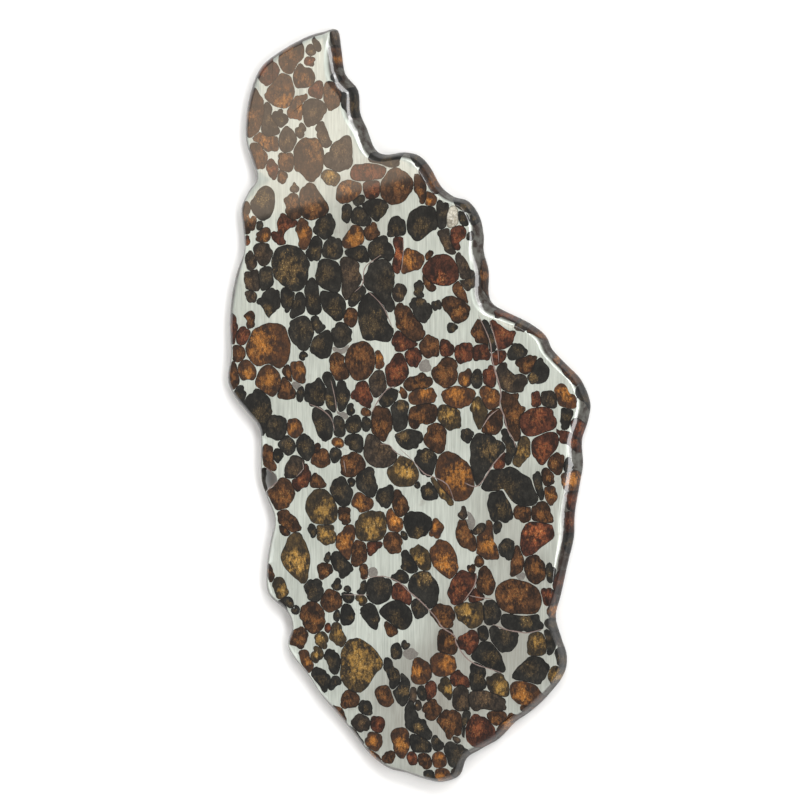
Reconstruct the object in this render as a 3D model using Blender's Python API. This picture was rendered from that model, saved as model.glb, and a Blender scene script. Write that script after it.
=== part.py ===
"""Pallasite meteorite slice, lying on its sawn back with the polished face up.

A nickel-iron matrix holds olivine crystals, each crystal a separate grain in its own
socket that runs through the slice. Lengths are in metres, +Z is up, and the origin is
under the middle of the slice, on the plane that it rests on.
"""

import math

import bmesh
import bpy
from mathutils import Vector

# Driving dimensions
THICKNESS = 0.0045
CLEARANCE = 0.0003
WEB = 0.0004

# Plan grid: size of one column and one row, and how far the grains stand to the right
COLUMN = 0.00026
ROW = 0.00025
FACE_SHIFT = 0.001

# Rim: share of the rim width taken in at each share of the thickness
RIM_STEPS = ((0.0, 0.14), (0.16, 0.0), (0.5, 0.22), (0.82, 0.6), (1.0, 1.0))
OUTLINE_STEPS = 2

# Sockets: how they are drawn apart, and how far their cutters pass each face
NUDGE = 0.00005
SPREAD_ROUNDS = 40
OVERRUN = 0.001

# Edge of the slice, clockwise from the tip: column, row and rim width in rows
OUTLINE = (
    (337, 28, 6), (341, 48, 14), (345, 72, 17), (358, 89, 17), (360, 111, 15), (367, 128, 12),
    (375, 148, 10), (386, 154, 8), (405, 152, 8), (420, 156, 9), (431, 168, 9), (441, 186, 8),
    (454, 197, 7), (469, 202, 8), (480, 218, 9), (484, 237, 11), (484, 252, 12), (489, 272, 15),
    (489, 294, 15), (494, 305, 13), (510, 314, 9), (530, 324, 8), (545, 336, 8), (552, 350, 8),
    (566, 365, 8), (580, 380, 8), (589, 402, 10), (587, 420, 12), (581, 440, 13), (582, 462, 14),
    (579, 482, 14), (574, 511, 14), (573, 536, 13), (567, 562, 10), (560, 593, 6), (555, 614, 5),
    (560, 634, 4), (566, 654, 4), (562, 673, 4), (546, 694, 5), (530, 709, 5), (515, 720, 6),
    (500, 736, 6), (482, 747, 6), (467, 757, 6), (460, 774, 6), (444, 781, 5), (428, 779, 5),
    (408, 773, 5), (390, 769, 6), (372, 756, 6), (354, 734, 6), (337, 714, 6), (322, 697, 5),
    (310, 679, 5), (293, 658, 5), (288, 645, 5), (292, 628, 6), (286, 613, 6), (268, 596, 6),
    (266, 570, 6), (270, 542, 6), (274, 520, 6), (266, 498, 6), (260, 475, 6), (260, 445, 6),
    (258, 428, 6), (246, 413, 6), (232, 395, 6), (226, 378, 6), (229, 354, 6), (228, 322, 7),
    (230, 292, 9), (236, 268, 8), (243, 248, 6), (242, 228, 6), (240, 206, 6), (248, 188, 6),
    (256, 176, 6), (251, 158, 6), (245, 138, 6), (245, 112, 7), (250, 86, 8), (261, 62, 8),
    (284, 45, 7), (309, 33, 7), (324, 29, 6),
)

# Olivine grains by tone, each the outline of its socket: column, row
OLIVINE = {
    "ink": (
        ((250, 204), (252, 197), (256, 190), (261, 185), (266, 184), (272, 188), (274, 194), (274, 203),
         (272, 211), (268, 217), (261, 218), (255, 213)),
        ((272, 260), (275, 252), (281, 247), (290, 244), (298, 248), (305, 254), (308, 262), (308, 271),
         (304, 283), (298, 289), (291, 291), (284, 286), (277, 280), (273, 272)),
        ((409, 217), (413, 211), (420, 208), (428, 207), (434, 208), (437, 214), (438, 228), (431, 233),
         (424, 239), (418, 242), (413, 239), (409, 230)),
        ((289, 328), (291, 321), (297, 317), (304, 317), (310, 320), (313, 328), (313, 335), (310, 345),
         (306, 350), (301, 350), (294, 343), (290, 335)),
        ((310, 341), (317, 336), (323, 332), (330, 331), (333, 337), (333, 344), (329, 355), (322, 359),
         (316, 356), (311, 350)),
        ((241, 409), (244, 400), (251, 393), (257, 389), (264, 394), (270, 403), (270, 411), (266, 420),
         (264, 430), (260, 436), (255, 428), (247, 417)),
        ((266, 427), (269, 420), (274, 416), (281, 416), (285, 421), (286, 430), (283, 437), (278, 440),
         (269, 438), (266, 433)),
        ((359, 312), (362, 301), (367, 295), (373, 293), (379, 298), (385, 309), (388, 320), (393, 329),
         (392, 338), (386, 342), (376, 340), (364, 337), (360, 327)),
        ((366, 276), (370, 267), (377, 261), (385, 259), (391, 264), (394, 273), (395, 283), (391, 296),
         (394, 306), (389, 311), (382, 301), (375, 293), (366, 287)),
        ((316, 272), (319, 264), (325, 259), (333, 260), (340, 266), (342, 277), (340, 290), (333, 292),
         (325, 288), (318, 281)),
        ((321, 292), (329, 291), (338, 293), (345, 300), (346, 310), (343, 318), (337, 320), (329, 315),
         (323, 308), (320, 300)),
        ((472, 443), (476, 436), (483, 434), (492, 436), (499, 441), (505, 448), (498, 456), (493, 464),
         (485, 473), (481, 483), (477, 483), (474, 471), (471, 455)),
        ((482, 486), (486, 477), (492, 469), (501, 469), (510, 466), (518, 470), (529, 477), (533, 486),
         (538, 496), (534, 504), (521, 505), (512, 499), (504, 488), (497, 490), (486, 490)),
        ((478, 645), (483, 639), (490, 641), (496, 648), (503, 658), (506, 667), (498, 668), (489, 665),
         (480, 660), (472, 654)),
        ((513, 674), (516, 666), (521, 661), (528, 655), (536, 653), (545, 659), (549, 666), (544, 672),
         (540, 679), (528, 678)),
        ((380, 612), (384, 606), (391, 601), (399, 600), (407, 604), (412, 610), (413, 620), (408, 628),
         (401, 629), (394, 625), (386, 619)),
        ((367, 588), (369, 580), (376, 577), (386, 578), (392, 583), (392, 593), (387, 600), (377, 602),
         (369, 598)),
        ((411, 587), (412, 579), (418, 573), (426, 571), (433, 575), (439, 584), (440, 592), (436, 601),
         (430, 607), (424, 600), (415, 595)),
    ),
    "smoke": (
        ((303, 102), (308, 99), (316, 98), (323, 101), (327, 107), (324, 114), (319, 121), (311, 125),
         (306, 123), (303, 113)),
        ((331, 149), (337, 142), (345, 135), (351, 137), (353, 148), (352, 160), (348, 168), (340, 171),
         (332, 168), (326, 163), (327, 155)),
        ((279, 133), (285, 125), (291, 128), (296, 135), (295, 143), (290, 150), (283, 151), (278, 144)),
        ((366, 441), (370, 434), (377, 436), (383, 443), (391, 446), (398, 455), (394, 464), (384, 468),
         (374, 466), (366, 459), (364, 450)),
    ),
    "umber": (
        ((280, 46), (289, 39), (299, 37), (303, 45), (302, 55), (297, 62), (292, 71), (285, 71),
         (280, 64), (278, 55)),
        ((293, 74), (295, 66), (300, 62), (304, 67), (311, 68), (315, 74), (313, 83), (305, 86),
         (298, 86), (294, 81)),
        ((324, 89), (327, 83), (333, 83), (339, 89), (340, 98), (337, 107), (329, 109), (324, 103)),
        ((241, 118), (244, 100), (249, 87), (255, 86), (260, 96), (263, 106), (261, 119), (257, 130),
         (250, 134), (243, 132)),
        ((294, 147), (299, 141), (306, 137), (314, 138), (320, 144), (322, 154), (321, 167), (316, 178),
         (309, 180), (301, 173), (295, 167), (294, 157)),
        ((278, 157), (281, 151), (288, 150), (293, 155), (293, 164), (288, 170), (281, 169), (278, 165)),
        ((299, 196), (303, 187), (309, 182), (315, 186), (322, 195), (329, 206), (326, 214), (315, 218),
         (304, 217), (300, 208)),
        ((381, 186), (385, 178), (392, 171), (400, 170), (408, 174), (413, 183), (411, 192), (406, 201),
         (396, 205), (387, 201), (382, 195)),
        ((397, 311), (401, 305), (407, 307), (414, 317), (421, 324), (425, 332), (422, 339), (414, 341),
         (405, 335), (399, 327), (396, 319)),
        ((443, 303), (447, 297), (455, 298), (463, 301), (469, 308), (470, 315), (465, 322), (456, 323),
         (448, 314)),
        ((346, 354), (351, 346), (359, 342), (367, 343), (374, 349), (376, 360), (373, 372), (365, 380),
         (355, 379), (348, 370), (345, 362)),
        ((434, 374), (437, 366), (443, 360), (450, 359), (456, 364), (457, 373), (454, 382), (447, 387),
         (440, 385)),
        ((524, 565), (527, 556), (533, 553), (540, 557), (545, 566), (543, 577), (535, 581), (527, 575)),
        ((497, 586), (504, 579), (513, 577), (523, 579), (533, 583), (540, 591), (541, 602), (535, 611),
         (523, 611), (510, 611), (500, 606), (496, 596)),
        ((300, 614), (303, 607), (310, 603), (317, 604), (323, 611), (325, 622), (321, 630), (315, 634),
         (307, 630), (302, 622)),
    ),
    "rust": (
        ((352, 172), (356, 165), (366, 164), (378, 165), (386, 169), (384, 177), (375, 180), (362, 181),
         (353, 179)),
        ((423, 272), (427, 263), (434, 257), (444, 255), (453, 259), (459, 269), (459, 280), (450, 286),
         (439, 286), (428, 280)),
        ((387, 376), (389, 366), (394, 357), (401, 354), (406, 360), (408, 373), (403, 382), (394, 387),
         (388, 384)),
        ((521, 416), (529, 411), (539, 407), (549, 408), (553, 415), (554, 426), (546, 431), (535, 434),
         (525, 433), (520, 425)),
        ((532, 442), (537, 437), (547, 432), (556, 433), (558, 441), (553, 451), (546, 460), (540, 464),
         (535, 458), (532, 450)),
        ((521, 531), (529, 521), (541, 521), (551, 524), (554, 534), (547, 541), (539, 547), (529, 555),
         (521, 549)),
        ((466, 727), (470, 717), (478, 713), (487, 717), (494, 725), (494, 734), (486, 744), (476, 745),
         (468, 738)),
    ),
    "amber": (
        ((265, 92), (269, 85), (277, 75), (283, 72), (290, 76), (292, 87), (292, 97), (288, 104),
         (280, 104), (270, 99)),
        ((336, 195), (339, 186), (345, 180), (354, 181), (361, 184), (361, 193), (352, 201), (343, 203),
         (337, 200)),
        ((245, 348), (249, 335), (258, 326), (268, 323), (281, 324), (286, 336), (290, 348), (287, 359),
         (279, 367), (268, 363), (256, 364), (248, 356)),
        ((255, 379), (260, 369), (267, 364), (274, 369), (280, 378), (279, 388), (272, 396), (263, 392),
         (256, 386)),
        ((443, 398), (447, 391), (456, 388), (467, 388), (475, 394), (472, 403), (462, 408), (450, 406)),
        ((510, 686), (516, 679), (527, 679), (537, 684), (542, 692), (537, 701), (526, 702), (515, 698)),
        ((432, 660), (435, 653), (444, 652), (453, 655), (457, 662), (453, 671), (444, 674), (434, 670)),
        ((412, 667), (416, 659), (423, 658), (430, 664), (431, 675), (426, 682), (417, 681), (413, 675)),
        ((437, 470), (439, 459), (446, 453), (456, 453), (466, 462), (473, 476), (474, 489), (467, 499),
         (456, 500), (445, 490), (438, 480)),
        ((432, 553), (434, 545), (440, 541), (447, 540), (454, 547), (458, 558), (457, 570), (450, 577),
         (442, 573), (435, 565)),
    ),
    "gold": (
        ((342, 668), (343, 655), (348, 643), (357, 638), (368, 643), (378, 652), (382, 664), (375, 676),
         (365, 690), (353, 691), (343, 681)),
        ((280, 558), (284, 547), (289, 537), (296, 533), (303, 539), (309, 552), (310, 563), (307, 578),
         (301, 583), (291, 576), (283, 567)),
        ((356, 532), (357, 522), (363, 515), (373, 511), (383, 514), (387, 523), (385, 535), (378, 541),
         (366, 541), (359, 539)),
        ((305, 509), (307, 499), (314, 491), (324, 490), (333, 498), (338, 510), (336, 519), (329, 525),
         (317, 524), (309, 518)),
        ((388, 470), (391, 461), (400, 456), (410, 459), (418, 468), (419, 479), (412, 486), (400, 486),
         (390, 479)),
    ),
}

# Colour, roughness and metallic value of each material
FINISHES = {
    "nickel_iron": ((0.52, 0.55, 0.52), 0.38, 1.0),
    "ink": ((0.020, 0.021, 0.018), 0.18, 0.0),
    "smoke": ((0.085, 0.070, 0.058), 0.18, 0.0),
    "umber": ((0.075, 0.040, 0.022), 0.18, 0.0),
    "rust": ((0.130, 0.035, 0.020), 0.18, 0.0),
    "amber": ((0.330, 0.120, 0.025), 0.18, 0.0),
    "gold": ((0.240, 0.170, 0.050), 0.18, 0.0),
}


def clear_scene():
    """Remove every object, so the part stands alone."""
    for thing in list(bpy.data.objects):
        bpy.data.objects.remove(thing, do_unlink=True)


def finish(name):
    """Return the material called name, made on first use."""
    found = bpy.data.materials.get(name)
    if found:
        return found
    colour, roughness, metallic = FINISHES[name]
    material = bpy.data.materials.new(name)
    material.use_nodes = True
    shader = material.node_tree.nodes["Principled BSDF"]
    shader.inputs["Base Color"].default_value = (*colour, 1.0)
    shader.inputs["Roughness"].default_value = roughness
    shader.inputs["Metallic"].default_value = metallic
    return material


def grid_point(column, row):
    """Return a plan point in metres, measured from the first column and row."""
    return Vector((column * COLUMN, -row * ROW))


def middle(loop):
    """Return the middle of a loop's extents."""
    across = [point.x for point in loop]
    along = [point.y for point in loop]
    return Vector(((min(across) + max(across)) / 2, (min(along) + max(along)) / 2))


def area(loop):
    """Return the signed area of a closed loop, positive when it runs anticlockwise."""
    total = 0.0
    for a, b in zip(loop, loop[1:] + loop[:1]):
        total += a.cross(b)
    return total / 2


def centre(loop):
    """Return the mean of a loop's points."""
    return sum(loop, Vector((0.0, 0.0))) / len(loop)


def smooth_loop(points, steps):
    """Return a closed curve through the points, with steps points to each span."""
    count = len(points)
    curve = []
    for index in range(count):
        before, start, end, after = (points[(index + k - 1) % count] for k in range(4))
        for step in range(steps):
            t = step / steps
            curve.append(0.5 * (2 * start + (end - before) * t
                                + (2 * before - 5 * start + 4 * end - after) * t ** 2
                                + (3 * start - before - 3 * end + after) * t ** 3))
    return curve


def inward_normals(loop):
    """Return the unit normal at each point of an anticlockwise loop, pointing in."""
    normals = []
    count = len(loop)
    for index in range(count):
        along = loop[(index + 1) % count] - loop[index - 1]
        normals.append(Vector((-along.y, along.x)).normalized())
    return normals


def inset(loop, widths):
    """Return the loop moved in along its normals, by one width for each point."""
    return [point + normal * width for point, normal, width in zip(loop, inward_normals(loop), widths)]


def edge_distance(point, loop):
    """Return how far a point lies outside a loop, negative when it is inside."""
    nearest = math.inf
    inside = False
    for a, b in zip(loop, loop[1:] + loop[:1]):
        along = b - a
        share = max(0.0, min(1.0, (point - a).dot(along) / along.length_squared))
        nearest = min(nearest, (a + along * share - point).length)
        if (a.y > point.y) != (b.y > point.y):
            if point.x < a.x + along.x * (point.y - a.y) / along.y:
                inside = not inside
    return -nearest if inside else nearest


def spread_apart(loops, web):
    """Draw neighbouring loops back towards their middles until a web is left between them."""
    reach = [max((point - centre(loop)).length for point in loop) for loop in loops]
    pairs = []
    for first in range(len(loops)):
        for second in range(len(loops)):
            apart = (centre(loops[first]) - centre(loops[second])).length
            if first != second and apart < reach[first] + reach[second] + web:
                pairs.append((first, second))
    for _ in range(SPREAD_ROUNDS):
        moved = False
        for first, second in pairs:
            middle = centre(loops[first])
            for index, point in enumerate(loops[first]):
                if edge_distance(point, loops[second]) < web:
                    loops[first][index] = point + (middle - point).normalized() * NUDGE
                    moved = True
        if not moved:
            return


def closed_mesh(name, rings):
    """Return an object whose walls join rings of points, capped at both ends."""
    shape = bmesh.new()
    rows = [[shape.verts.new(point) for point in ring] for ring in rings]
    for lower, upper in zip(rows, rows[1:]):
        for index in range(len(lower)):
            after = (index + 1) % len(lower)
            shape.faces.new((lower[index], lower[after], upper[after], upper[index]))
    shape.faces.new(list(reversed(rows[0])))
    shape.faces.new(rows[-1])
    bmesh.ops.recalc_face_normals(shape, faces=shape.faces)
    mesh = bpy.data.meshes.new(name)
    shape.to_mesh(mesh)
    shape.free()
    thing = bpy.data.objects.new(name, mesh)
    bpy.context.scene.collection.objects.link(thing)
    return thing


def prism(name, loop, low, high):
    """Return a straight prism on a plan loop."""
    return closed_mesh(name, [[(point.x, point.y, height) for point in loop] for height in (low, high)])


def slice_edge():
    """Return the smoothed edge of the slice and its rim widths, both anticlockwise."""
    loop = smooth_loop([grid_point(column, row) for column, row, _ in OUTLINE], OUTLINE_STEPS)
    rims = smooth_loop([Vector((width * ROW, 0.0)) for _, _, width in OUTLINE], OUTLINE_STEPS)
    if area(loop) < 0:
        loop.reverse()
        rims.reverse()
    return loop, [rim.x for rim in rims]


def slab(name):
    """Return the whole slice as one solid, with its rounded rim."""
    loop, rims = slice_edge()
    base = middle(loop)
    rings = []
    for height, share in RIM_STEPS:
        ring = inset(loop, [rim * share for rim in rims])
        rings.append([(*(point - base), height * THICKNESS) for point in ring])
    return closed_mesh(name, rings)


def sockets():
    """Return each grain's tone and socket outline, with a web left between sockets."""
    base = middle(slice_edge()[0]) - Vector((FACE_SHIFT, 0.0))
    tones = []
    loops = []
    for tone, outlines in OLIVINE.items():
        for outline in outlines:
            loop = [grid_point(column, row) - base for column, row in outline]
            if area(loop) < 0:
                loop.reverse()
            tones.append(tone)
            loops.append(loop)
    spread_apart(loops, WEB)
    return list(zip(tones, loops))


def as_guide(thing):
    """Keep an object as a cutter that is not part of the slice."""
    thing.hide_render = True
    thing.display_type = "WIRE"


def boolean(thing, other, operation):
    """Add a Boolean modifier."""
    cut = thing.modifiers.new(operation.title(), "BOOLEAN")
    cut.operation = operation
    cut.solver = "EXACT"
    cut.object = other


def build_matrix(holes):
    """Make the nickel-iron matrix with one socket for each grain."""
    matrix = slab("metal_matrix")
    matrix.data.materials.append(finish("nickel_iron"))
    shape = bmesh.new()
    for _, loop in holes:
        cutter = prism("socket", loop, -OVERRUN, THICKNESS + OVERRUN)
        shape.from_mesh(cutter.data)
        bpy.data.objects.remove(cutter)
    joined = bpy.data.meshes.new("sockets")
    shape.to_mesh(joined)
    shape.free()
    tool = bpy.data.objects.new("sockets", joined)
    bpy.context.scene.collection.objects.link(tool)
    as_guide(tool)
    boolean(matrix, tool, "DIFFERENCE")


def build_grains(holes):
    """Make one olivine grain in each socket, trimmed to the slice's own surface."""
    trim = slab("slice_form")
    as_guide(trim)
    for number, (tone, loop) in enumerate(holes, start=1):
        core = inset(loop, [CLEARANCE] * len(loop))
        grain = prism(f"olivine_{number:02d}", core, -OVERRUN, THICKNESS + OVERRUN)
        grain.data.materials.append(finish(tone))
        boolean(grain, trim, "INTERSECT")


def main():
    """Build the slice."""
    clear_scene()
    holes = sockets()
    build_matrix(holes)
    build_grains(holes)


main()
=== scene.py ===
"""Pallasite meteorite slice, lying on its sawn back with the polished face up.

The nickel-iron matrix, its veins and every olivine crystal are cut from one slab form, so they
meet flush on both faces and over the rounded rim. Lengths are in metres and +Z is up.
"""

import logging
import math
from dataclasses import dataclass
from enum import Enum
from typing import Sequence

import bmesh
import bpy
from mathutils import Vector, kdtree, noise
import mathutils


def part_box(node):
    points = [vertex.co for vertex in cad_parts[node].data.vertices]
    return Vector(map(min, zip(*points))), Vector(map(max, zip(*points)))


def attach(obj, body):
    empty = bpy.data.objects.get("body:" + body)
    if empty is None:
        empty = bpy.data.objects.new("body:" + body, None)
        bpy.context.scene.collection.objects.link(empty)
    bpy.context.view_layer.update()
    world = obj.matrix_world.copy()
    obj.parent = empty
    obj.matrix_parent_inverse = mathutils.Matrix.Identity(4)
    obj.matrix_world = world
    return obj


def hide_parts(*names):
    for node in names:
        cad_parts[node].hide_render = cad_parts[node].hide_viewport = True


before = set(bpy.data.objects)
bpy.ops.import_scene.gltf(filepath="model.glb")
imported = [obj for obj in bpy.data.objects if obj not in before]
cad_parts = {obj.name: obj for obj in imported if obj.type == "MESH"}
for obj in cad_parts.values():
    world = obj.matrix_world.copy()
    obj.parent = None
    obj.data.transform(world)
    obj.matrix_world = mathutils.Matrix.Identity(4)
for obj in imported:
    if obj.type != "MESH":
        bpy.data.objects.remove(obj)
log = logging.getLogger("slice")

Colour = tuple[float, float, float]
Flat = tuple[float, ...]

# Thickness of the slice, how far a cut reaches past its faces, and the radius a new plate starts with
THICKNESS = 0.0045
CUT_PAST = 0.001
BLANK_RADIUS = 0.01


class Tone(Enum):
    """The kinds of grain that fill the metal."""

    INK = "ink"
    SMOKE = "smoke"
    UMBER = "umber"
    RUST = "rust"
    AMBER = "amber"
    GOLD = "gold"
    CREAM = "cream"
    DULL = "dull"


# Edge of the slice, clockwise from the tip: column, row and rim width in rows
OUTLINE = (
    (337, 28, 6), (341, 48, 14), (345, 72, 17), (358, 89, 17), (360, 111, 15), (367, 128, 12),
    (375, 148, 10), (386, 154, 8), (405, 152, 8), (420, 156, 9), (431, 168, 9), (441, 186, 8),
    (454, 197, 7), (469, 202, 8), (480, 218, 9), (484, 237, 11), (484, 252, 12), (489, 272, 15),
    (489, 294, 15), (494, 305, 13), (510, 314, 9), (530, 324, 8), (545, 336, 8), (552, 350, 8),
    (566, 365, 8), (580, 380, 8), (589, 402, 10), (587, 420, 12), (581, 440, 13), (582, 462, 14),
    (579, 482, 14), (574, 511, 14), (573, 536, 13), (567, 562, 10), (560, 593, 6), (555, 614, 5),
    (560, 634, 4), (566, 654, 4), (562, 673, 4), (546, 694, 5), (530, 709, 5), (515, 720, 6),
    (500, 736, 6), (482, 747, 6), (467, 757, 6), (460, 774, 6), (444, 781, 5), (428, 779, 5),
    (408, 773, 5), (390, 769, 6), (372, 756, 6), (354, 734, 6), (337, 714, 6), (322, 697, 5),
    (310, 679, 5), (293, 658, 5), (288, 645, 5), (292, 628, 6), (286, 613, 6), (268, 596, 6),
    (266, 570, 6), (270, 542, 6), (274, 520, 6), (266, 498, 6), (260, 475, 6), (260, 445, 6),
    (258, 428, 6), (246, 413, 6), (232, 395, 6), (226, 378, 6), (229, 354, 6), (228, 322, 7),
    (230, 292, 9), (236, 268, 8), (243, 248, 6), (242, 228, 6), (240, 206, 6), (248, 188, 6),
    (256, 176, 6), (251, 158, 6), (245, 138, 6), (245, 112, 7), (250, 86, 8), (261, 62, 8),
    (284, 45, 7), (309, 33, 7), (324, 29, 6),
)

# Crystals that stand for numbered solids, in that order: columns and rows in turn
NUMBERED_INK = (
    (250, 204, 252, 197, 256, 190, 261, 185, 266, 184, 272, 188, 274, 194, 274, 203, 272, 211, 268, 217,
     261, 218, 255, 213),
    (272, 260, 275, 252, 281, 247, 290, 244, 298, 248, 305, 254, 308, 262, 308, 271, 304, 283, 298, 289,
     291, 291, 284, 286, 277, 280, 273, 272),
    (409, 217, 413, 211, 420, 208, 428, 207, 434, 208, 437, 214, 438, 228, 431, 233, 424, 239, 418, 242,
     413, 239, 409, 230),
    (289, 328, 291, 321, 297, 317, 304, 317, 310, 320, 313, 328, 313, 335, 310, 345, 306, 350, 301, 350,
     294, 343, 290, 335),
    (310, 341, 317, 336, 323, 332, 330, 331, 333, 337, 333, 344, 329, 355, 322, 359, 316, 356, 311, 350),
    (241, 409, 244, 400, 251, 393, 257, 389, 264, 394, 270, 403, 270, 411, 266, 420, 264, 430, 260, 436,
     255, 428, 247, 417),
    (266, 427, 269, 420, 274, 416, 281, 416, 285, 421, 286, 430, 283, 437, 278, 440, 269, 438, 266, 433),
    (359, 312, 362, 301, 367, 295, 373, 293, 379, 298, 385, 309, 388, 320, 393, 329, 392, 338, 386, 342,
     376, 340, 364, 337, 360, 327),
    (366, 276, 370, 267, 377, 261, 385, 259, 391, 264, 394, 273, 395, 283, 391, 296, 394, 306, 389, 311,
     382, 301, 375, 293, 366, 287),
    (316, 272, 319, 264, 325, 259, 333, 260, 340, 266, 342, 277, 340, 290, 333, 292, 325, 288, 318, 281),
    (321, 292, 329, 291, 338, 293, 345, 300, 346, 310, 343, 318, 337, 320, 329, 315, 323, 308, 320, 300),
    (472, 443, 476, 436, 483, 434, 492, 436, 499, 441, 505, 448, 498, 456, 493, 464, 485, 473, 481, 483,
     477, 483, 474, 471, 471, 455),
    (482, 486, 486, 477, 492, 469, 501, 469, 510, 466, 518, 470, 529, 477, 533, 486, 538, 496, 534, 504,
     521, 505, 512, 499, 504, 488, 497, 490, 486, 490),
    (478, 645, 483, 639, 490, 641, 496, 648, 503, 658, 506, 667, 498, 668, 489, 665, 480, 660, 472, 654),
    (513, 674, 516, 666, 521, 661, 528, 655, 536, 653, 545, 659, 549, 666, 544, 672, 540, 679, 528, 678),
    (380, 612, 384, 606, 391, 601, 399, 600, 407, 604, 412, 610, 413, 620, 408, 628, 401, 629, 394, 625,
     386, 619),
    (367, 588, 369, 580, 376, 577, 386, 578, 392, 583, 392, 593, 387, 600, 377, 602, 369, 598),
    (411, 587, 412, 579, 418, 573, 426, 571, 433, 575, 439, 584, 440, 592, 436, 601, 430, 607, 424, 600,
     415, 595),
)
NUMBERED_SMOKE = (
    (303, 102, 308, 99, 316, 98, 323, 101, 327, 107, 324, 114, 319, 121, 311, 125, 306, 123, 303, 113),
    (331, 149, 337, 142, 345, 135, 351, 137, 353, 148, 352, 160, 348, 168, 340, 171, 332, 168, 326, 163,
     327, 155),
    (279, 133, 285, 125, 291, 128, 296, 135, 295, 143, 290, 150, 283, 151, 278, 144),
    (366, 441, 370, 434, 377, 436, 383, 443, 391, 446, 398, 455, 394, 464, 384, 468, 374, 466, 366, 459,
     364, 450),
)
NUMBERED_UMBER = (
    (280, 46, 289, 39, 299, 37, 303, 45, 302, 55, 297, 62, 292, 71, 285, 71, 280, 64, 278, 55),
    (293, 74, 295, 66, 300, 62, 304, 67, 311, 68, 315, 74, 313, 83, 305, 86, 298, 86, 294, 81),
    (324, 89, 327, 83, 333, 83, 339, 89, 340, 98, 337, 107, 329, 109, 324, 103),
    (241, 118, 244, 100, 249, 87, 255, 86, 260, 96, 263, 106, 261, 119, 257, 130, 250, 134, 243, 132),
    (294, 147, 299, 141, 306, 137, 314, 138, 320, 144, 322, 154, 321, 167, 316, 178, 309, 180, 301, 173,
     295, 167, 294, 157),
    (278, 157, 281, 151, 288, 150, 293, 155, 293, 164, 288, 170, 281, 169, 278, 165),
    (299, 196, 303, 187, 309, 182, 315, 186, 322, 195, 329, 206, 326, 214, 315, 218, 304, 217, 300, 208),
    (381, 186, 385, 178, 392, 171, 400, 170, 408, 174, 413, 183, 411, 192, 406, 201, 396, 205, 387, 201,
     382, 195),
    (397, 311, 401, 305, 407, 307, 414, 317, 421, 324, 425, 332, 422, 339, 414, 341, 405, 335, 399, 327,
     396, 319),
    (443, 303, 447, 297, 455, 298, 463, 301, 469, 308, 470, 315, 465, 322, 456, 323, 448, 314),
    (346, 354, 351, 346, 359, 342, 367, 343, 374, 349, 376, 360, 373, 372, 365, 380, 355, 379, 348, 370,
     345, 362),
    (434, 374, 437, 366, 443, 360, 450, 359, 456, 364, 457, 373, 454, 382, 447, 387, 440, 385),
    (524, 565, 527, 556, 533, 553, 540, 557, 545, 566, 543, 577, 535, 581, 527, 575),
    (497, 586, 504, 579, 513, 577, 523, 579, 533, 583, 540, 591, 541, 602, 535, 611, 523, 611, 510, 611,
     500, 606, 496, 596),
    (300, 614, 303, 607, 310, 603, 317, 604, 323, 611, 325, 622, 321, 630, 315, 634, 307, 630, 302, 622),
)
NUMBERED_RUST = (
    (352, 172, 356, 165, 366, 164, 378, 165, 386, 169, 384, 177, 375, 180, 362, 181, 353, 179),
    (423, 272, 427, 263, 434, 257, 444, 255, 453, 259, 459, 269, 459, 280, 450, 286, 439, 286, 428, 280),
    (387, 376, 389, 366, 394, 357, 401, 354, 406, 360, 408, 373, 403, 382, 394, 387, 388, 384),
    (521, 416, 529, 411, 539, 407, 549, 408, 553, 415, 554, 426, 546, 431, 535, 434, 525, 433, 520, 425),
    (532, 442, 537, 437, 547, 432, 556, 433, 558, 441, 553, 451, 546, 460, 540, 464, 535, 458, 532, 450),
    (521, 531, 529, 521, 541, 521, 551, 524, 554, 534, 547, 541, 539, 547, 529, 555, 521, 549),
    (466, 727, 470, 717, 478, 713, 487, 717, 494, 725, 494, 734, 486, 744, 476, 745, 468, 738),
)
NUMBERED_AMBER = (
    (265, 92, 269, 85, 277, 75, 283, 72, 290, 76, 292, 87, 292, 97, 288, 104, 280, 104, 270, 99),
    (336, 195, 339, 186, 345, 180, 354, 181, 361, 184, 361, 193, 352, 201, 343, 203, 337, 200),
    (245, 348, 249, 335, 258, 326, 268, 323, 281, 324, 286, 336, 290, 348, 287, 359, 279, 367, 268, 363,
     256, 364, 248, 356),
    (255, 379, 260, 369, 267, 364, 274, 369, 280, 378, 279, 388, 272, 396, 263, 392, 256, 386),
    (443, 398, 447, 391, 456, 388, 467, 388, 475, 394, 472, 403, 462, 408, 450, 406),
    (510, 686, 516, 679, 527, 679, 537, 684, 542, 692, 537, 701, 526, 702, 515, 698),
    (432, 660, 435, 653, 444, 652, 453, 655, 457, 662, 453, 671, 444, 674, 434, 670),
    (412, 667, 416, 659, 423, 658, 430, 664, 431, 675, 426, 682, 417, 681, 413, 675),
    (437, 470, 439, 459, 446, 453, 456, 453, 466, 462, 473, 476, 474, 489, 467, 499, 456, 500, 445, 490,
     438, 480),
    (432, 553, 434, 545, 440, 541, 447, 540, 454, 547, 458, 558, 457, 570, 450, 577, 442, 573, 435, 565),
)
NUMBERED_GOLD = (
    (342, 668, 343, 655, 348, 643, 357, 638, 368, 643, 378, 652, 382, 664, 375, 676, 365, 690, 353, 691,
     343, 681),
    (280, 558, 284, 547, 289, 537, 296, 533, 303, 539, 309, 552, 310, 563, 307, 578, 301, 583, 291, 576,
     283, 567),
    (356, 532, 357, 522, 363, 515, 373, 511, 383, 514, 387, 523, 385, 535, 378, 541, 366, 541, 359, 539),
    (305, 509, 307, 499, 314, 491, 324, 490, 333, 498, 338, 510, 336, 519, 329, 525, 317, 524, 309, 518),
    (388, 470, 391, 461, 400, 456, 410, 459, 418, 468, 419, 479, 412, 486, 400, 486, 390, 479),
)
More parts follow.
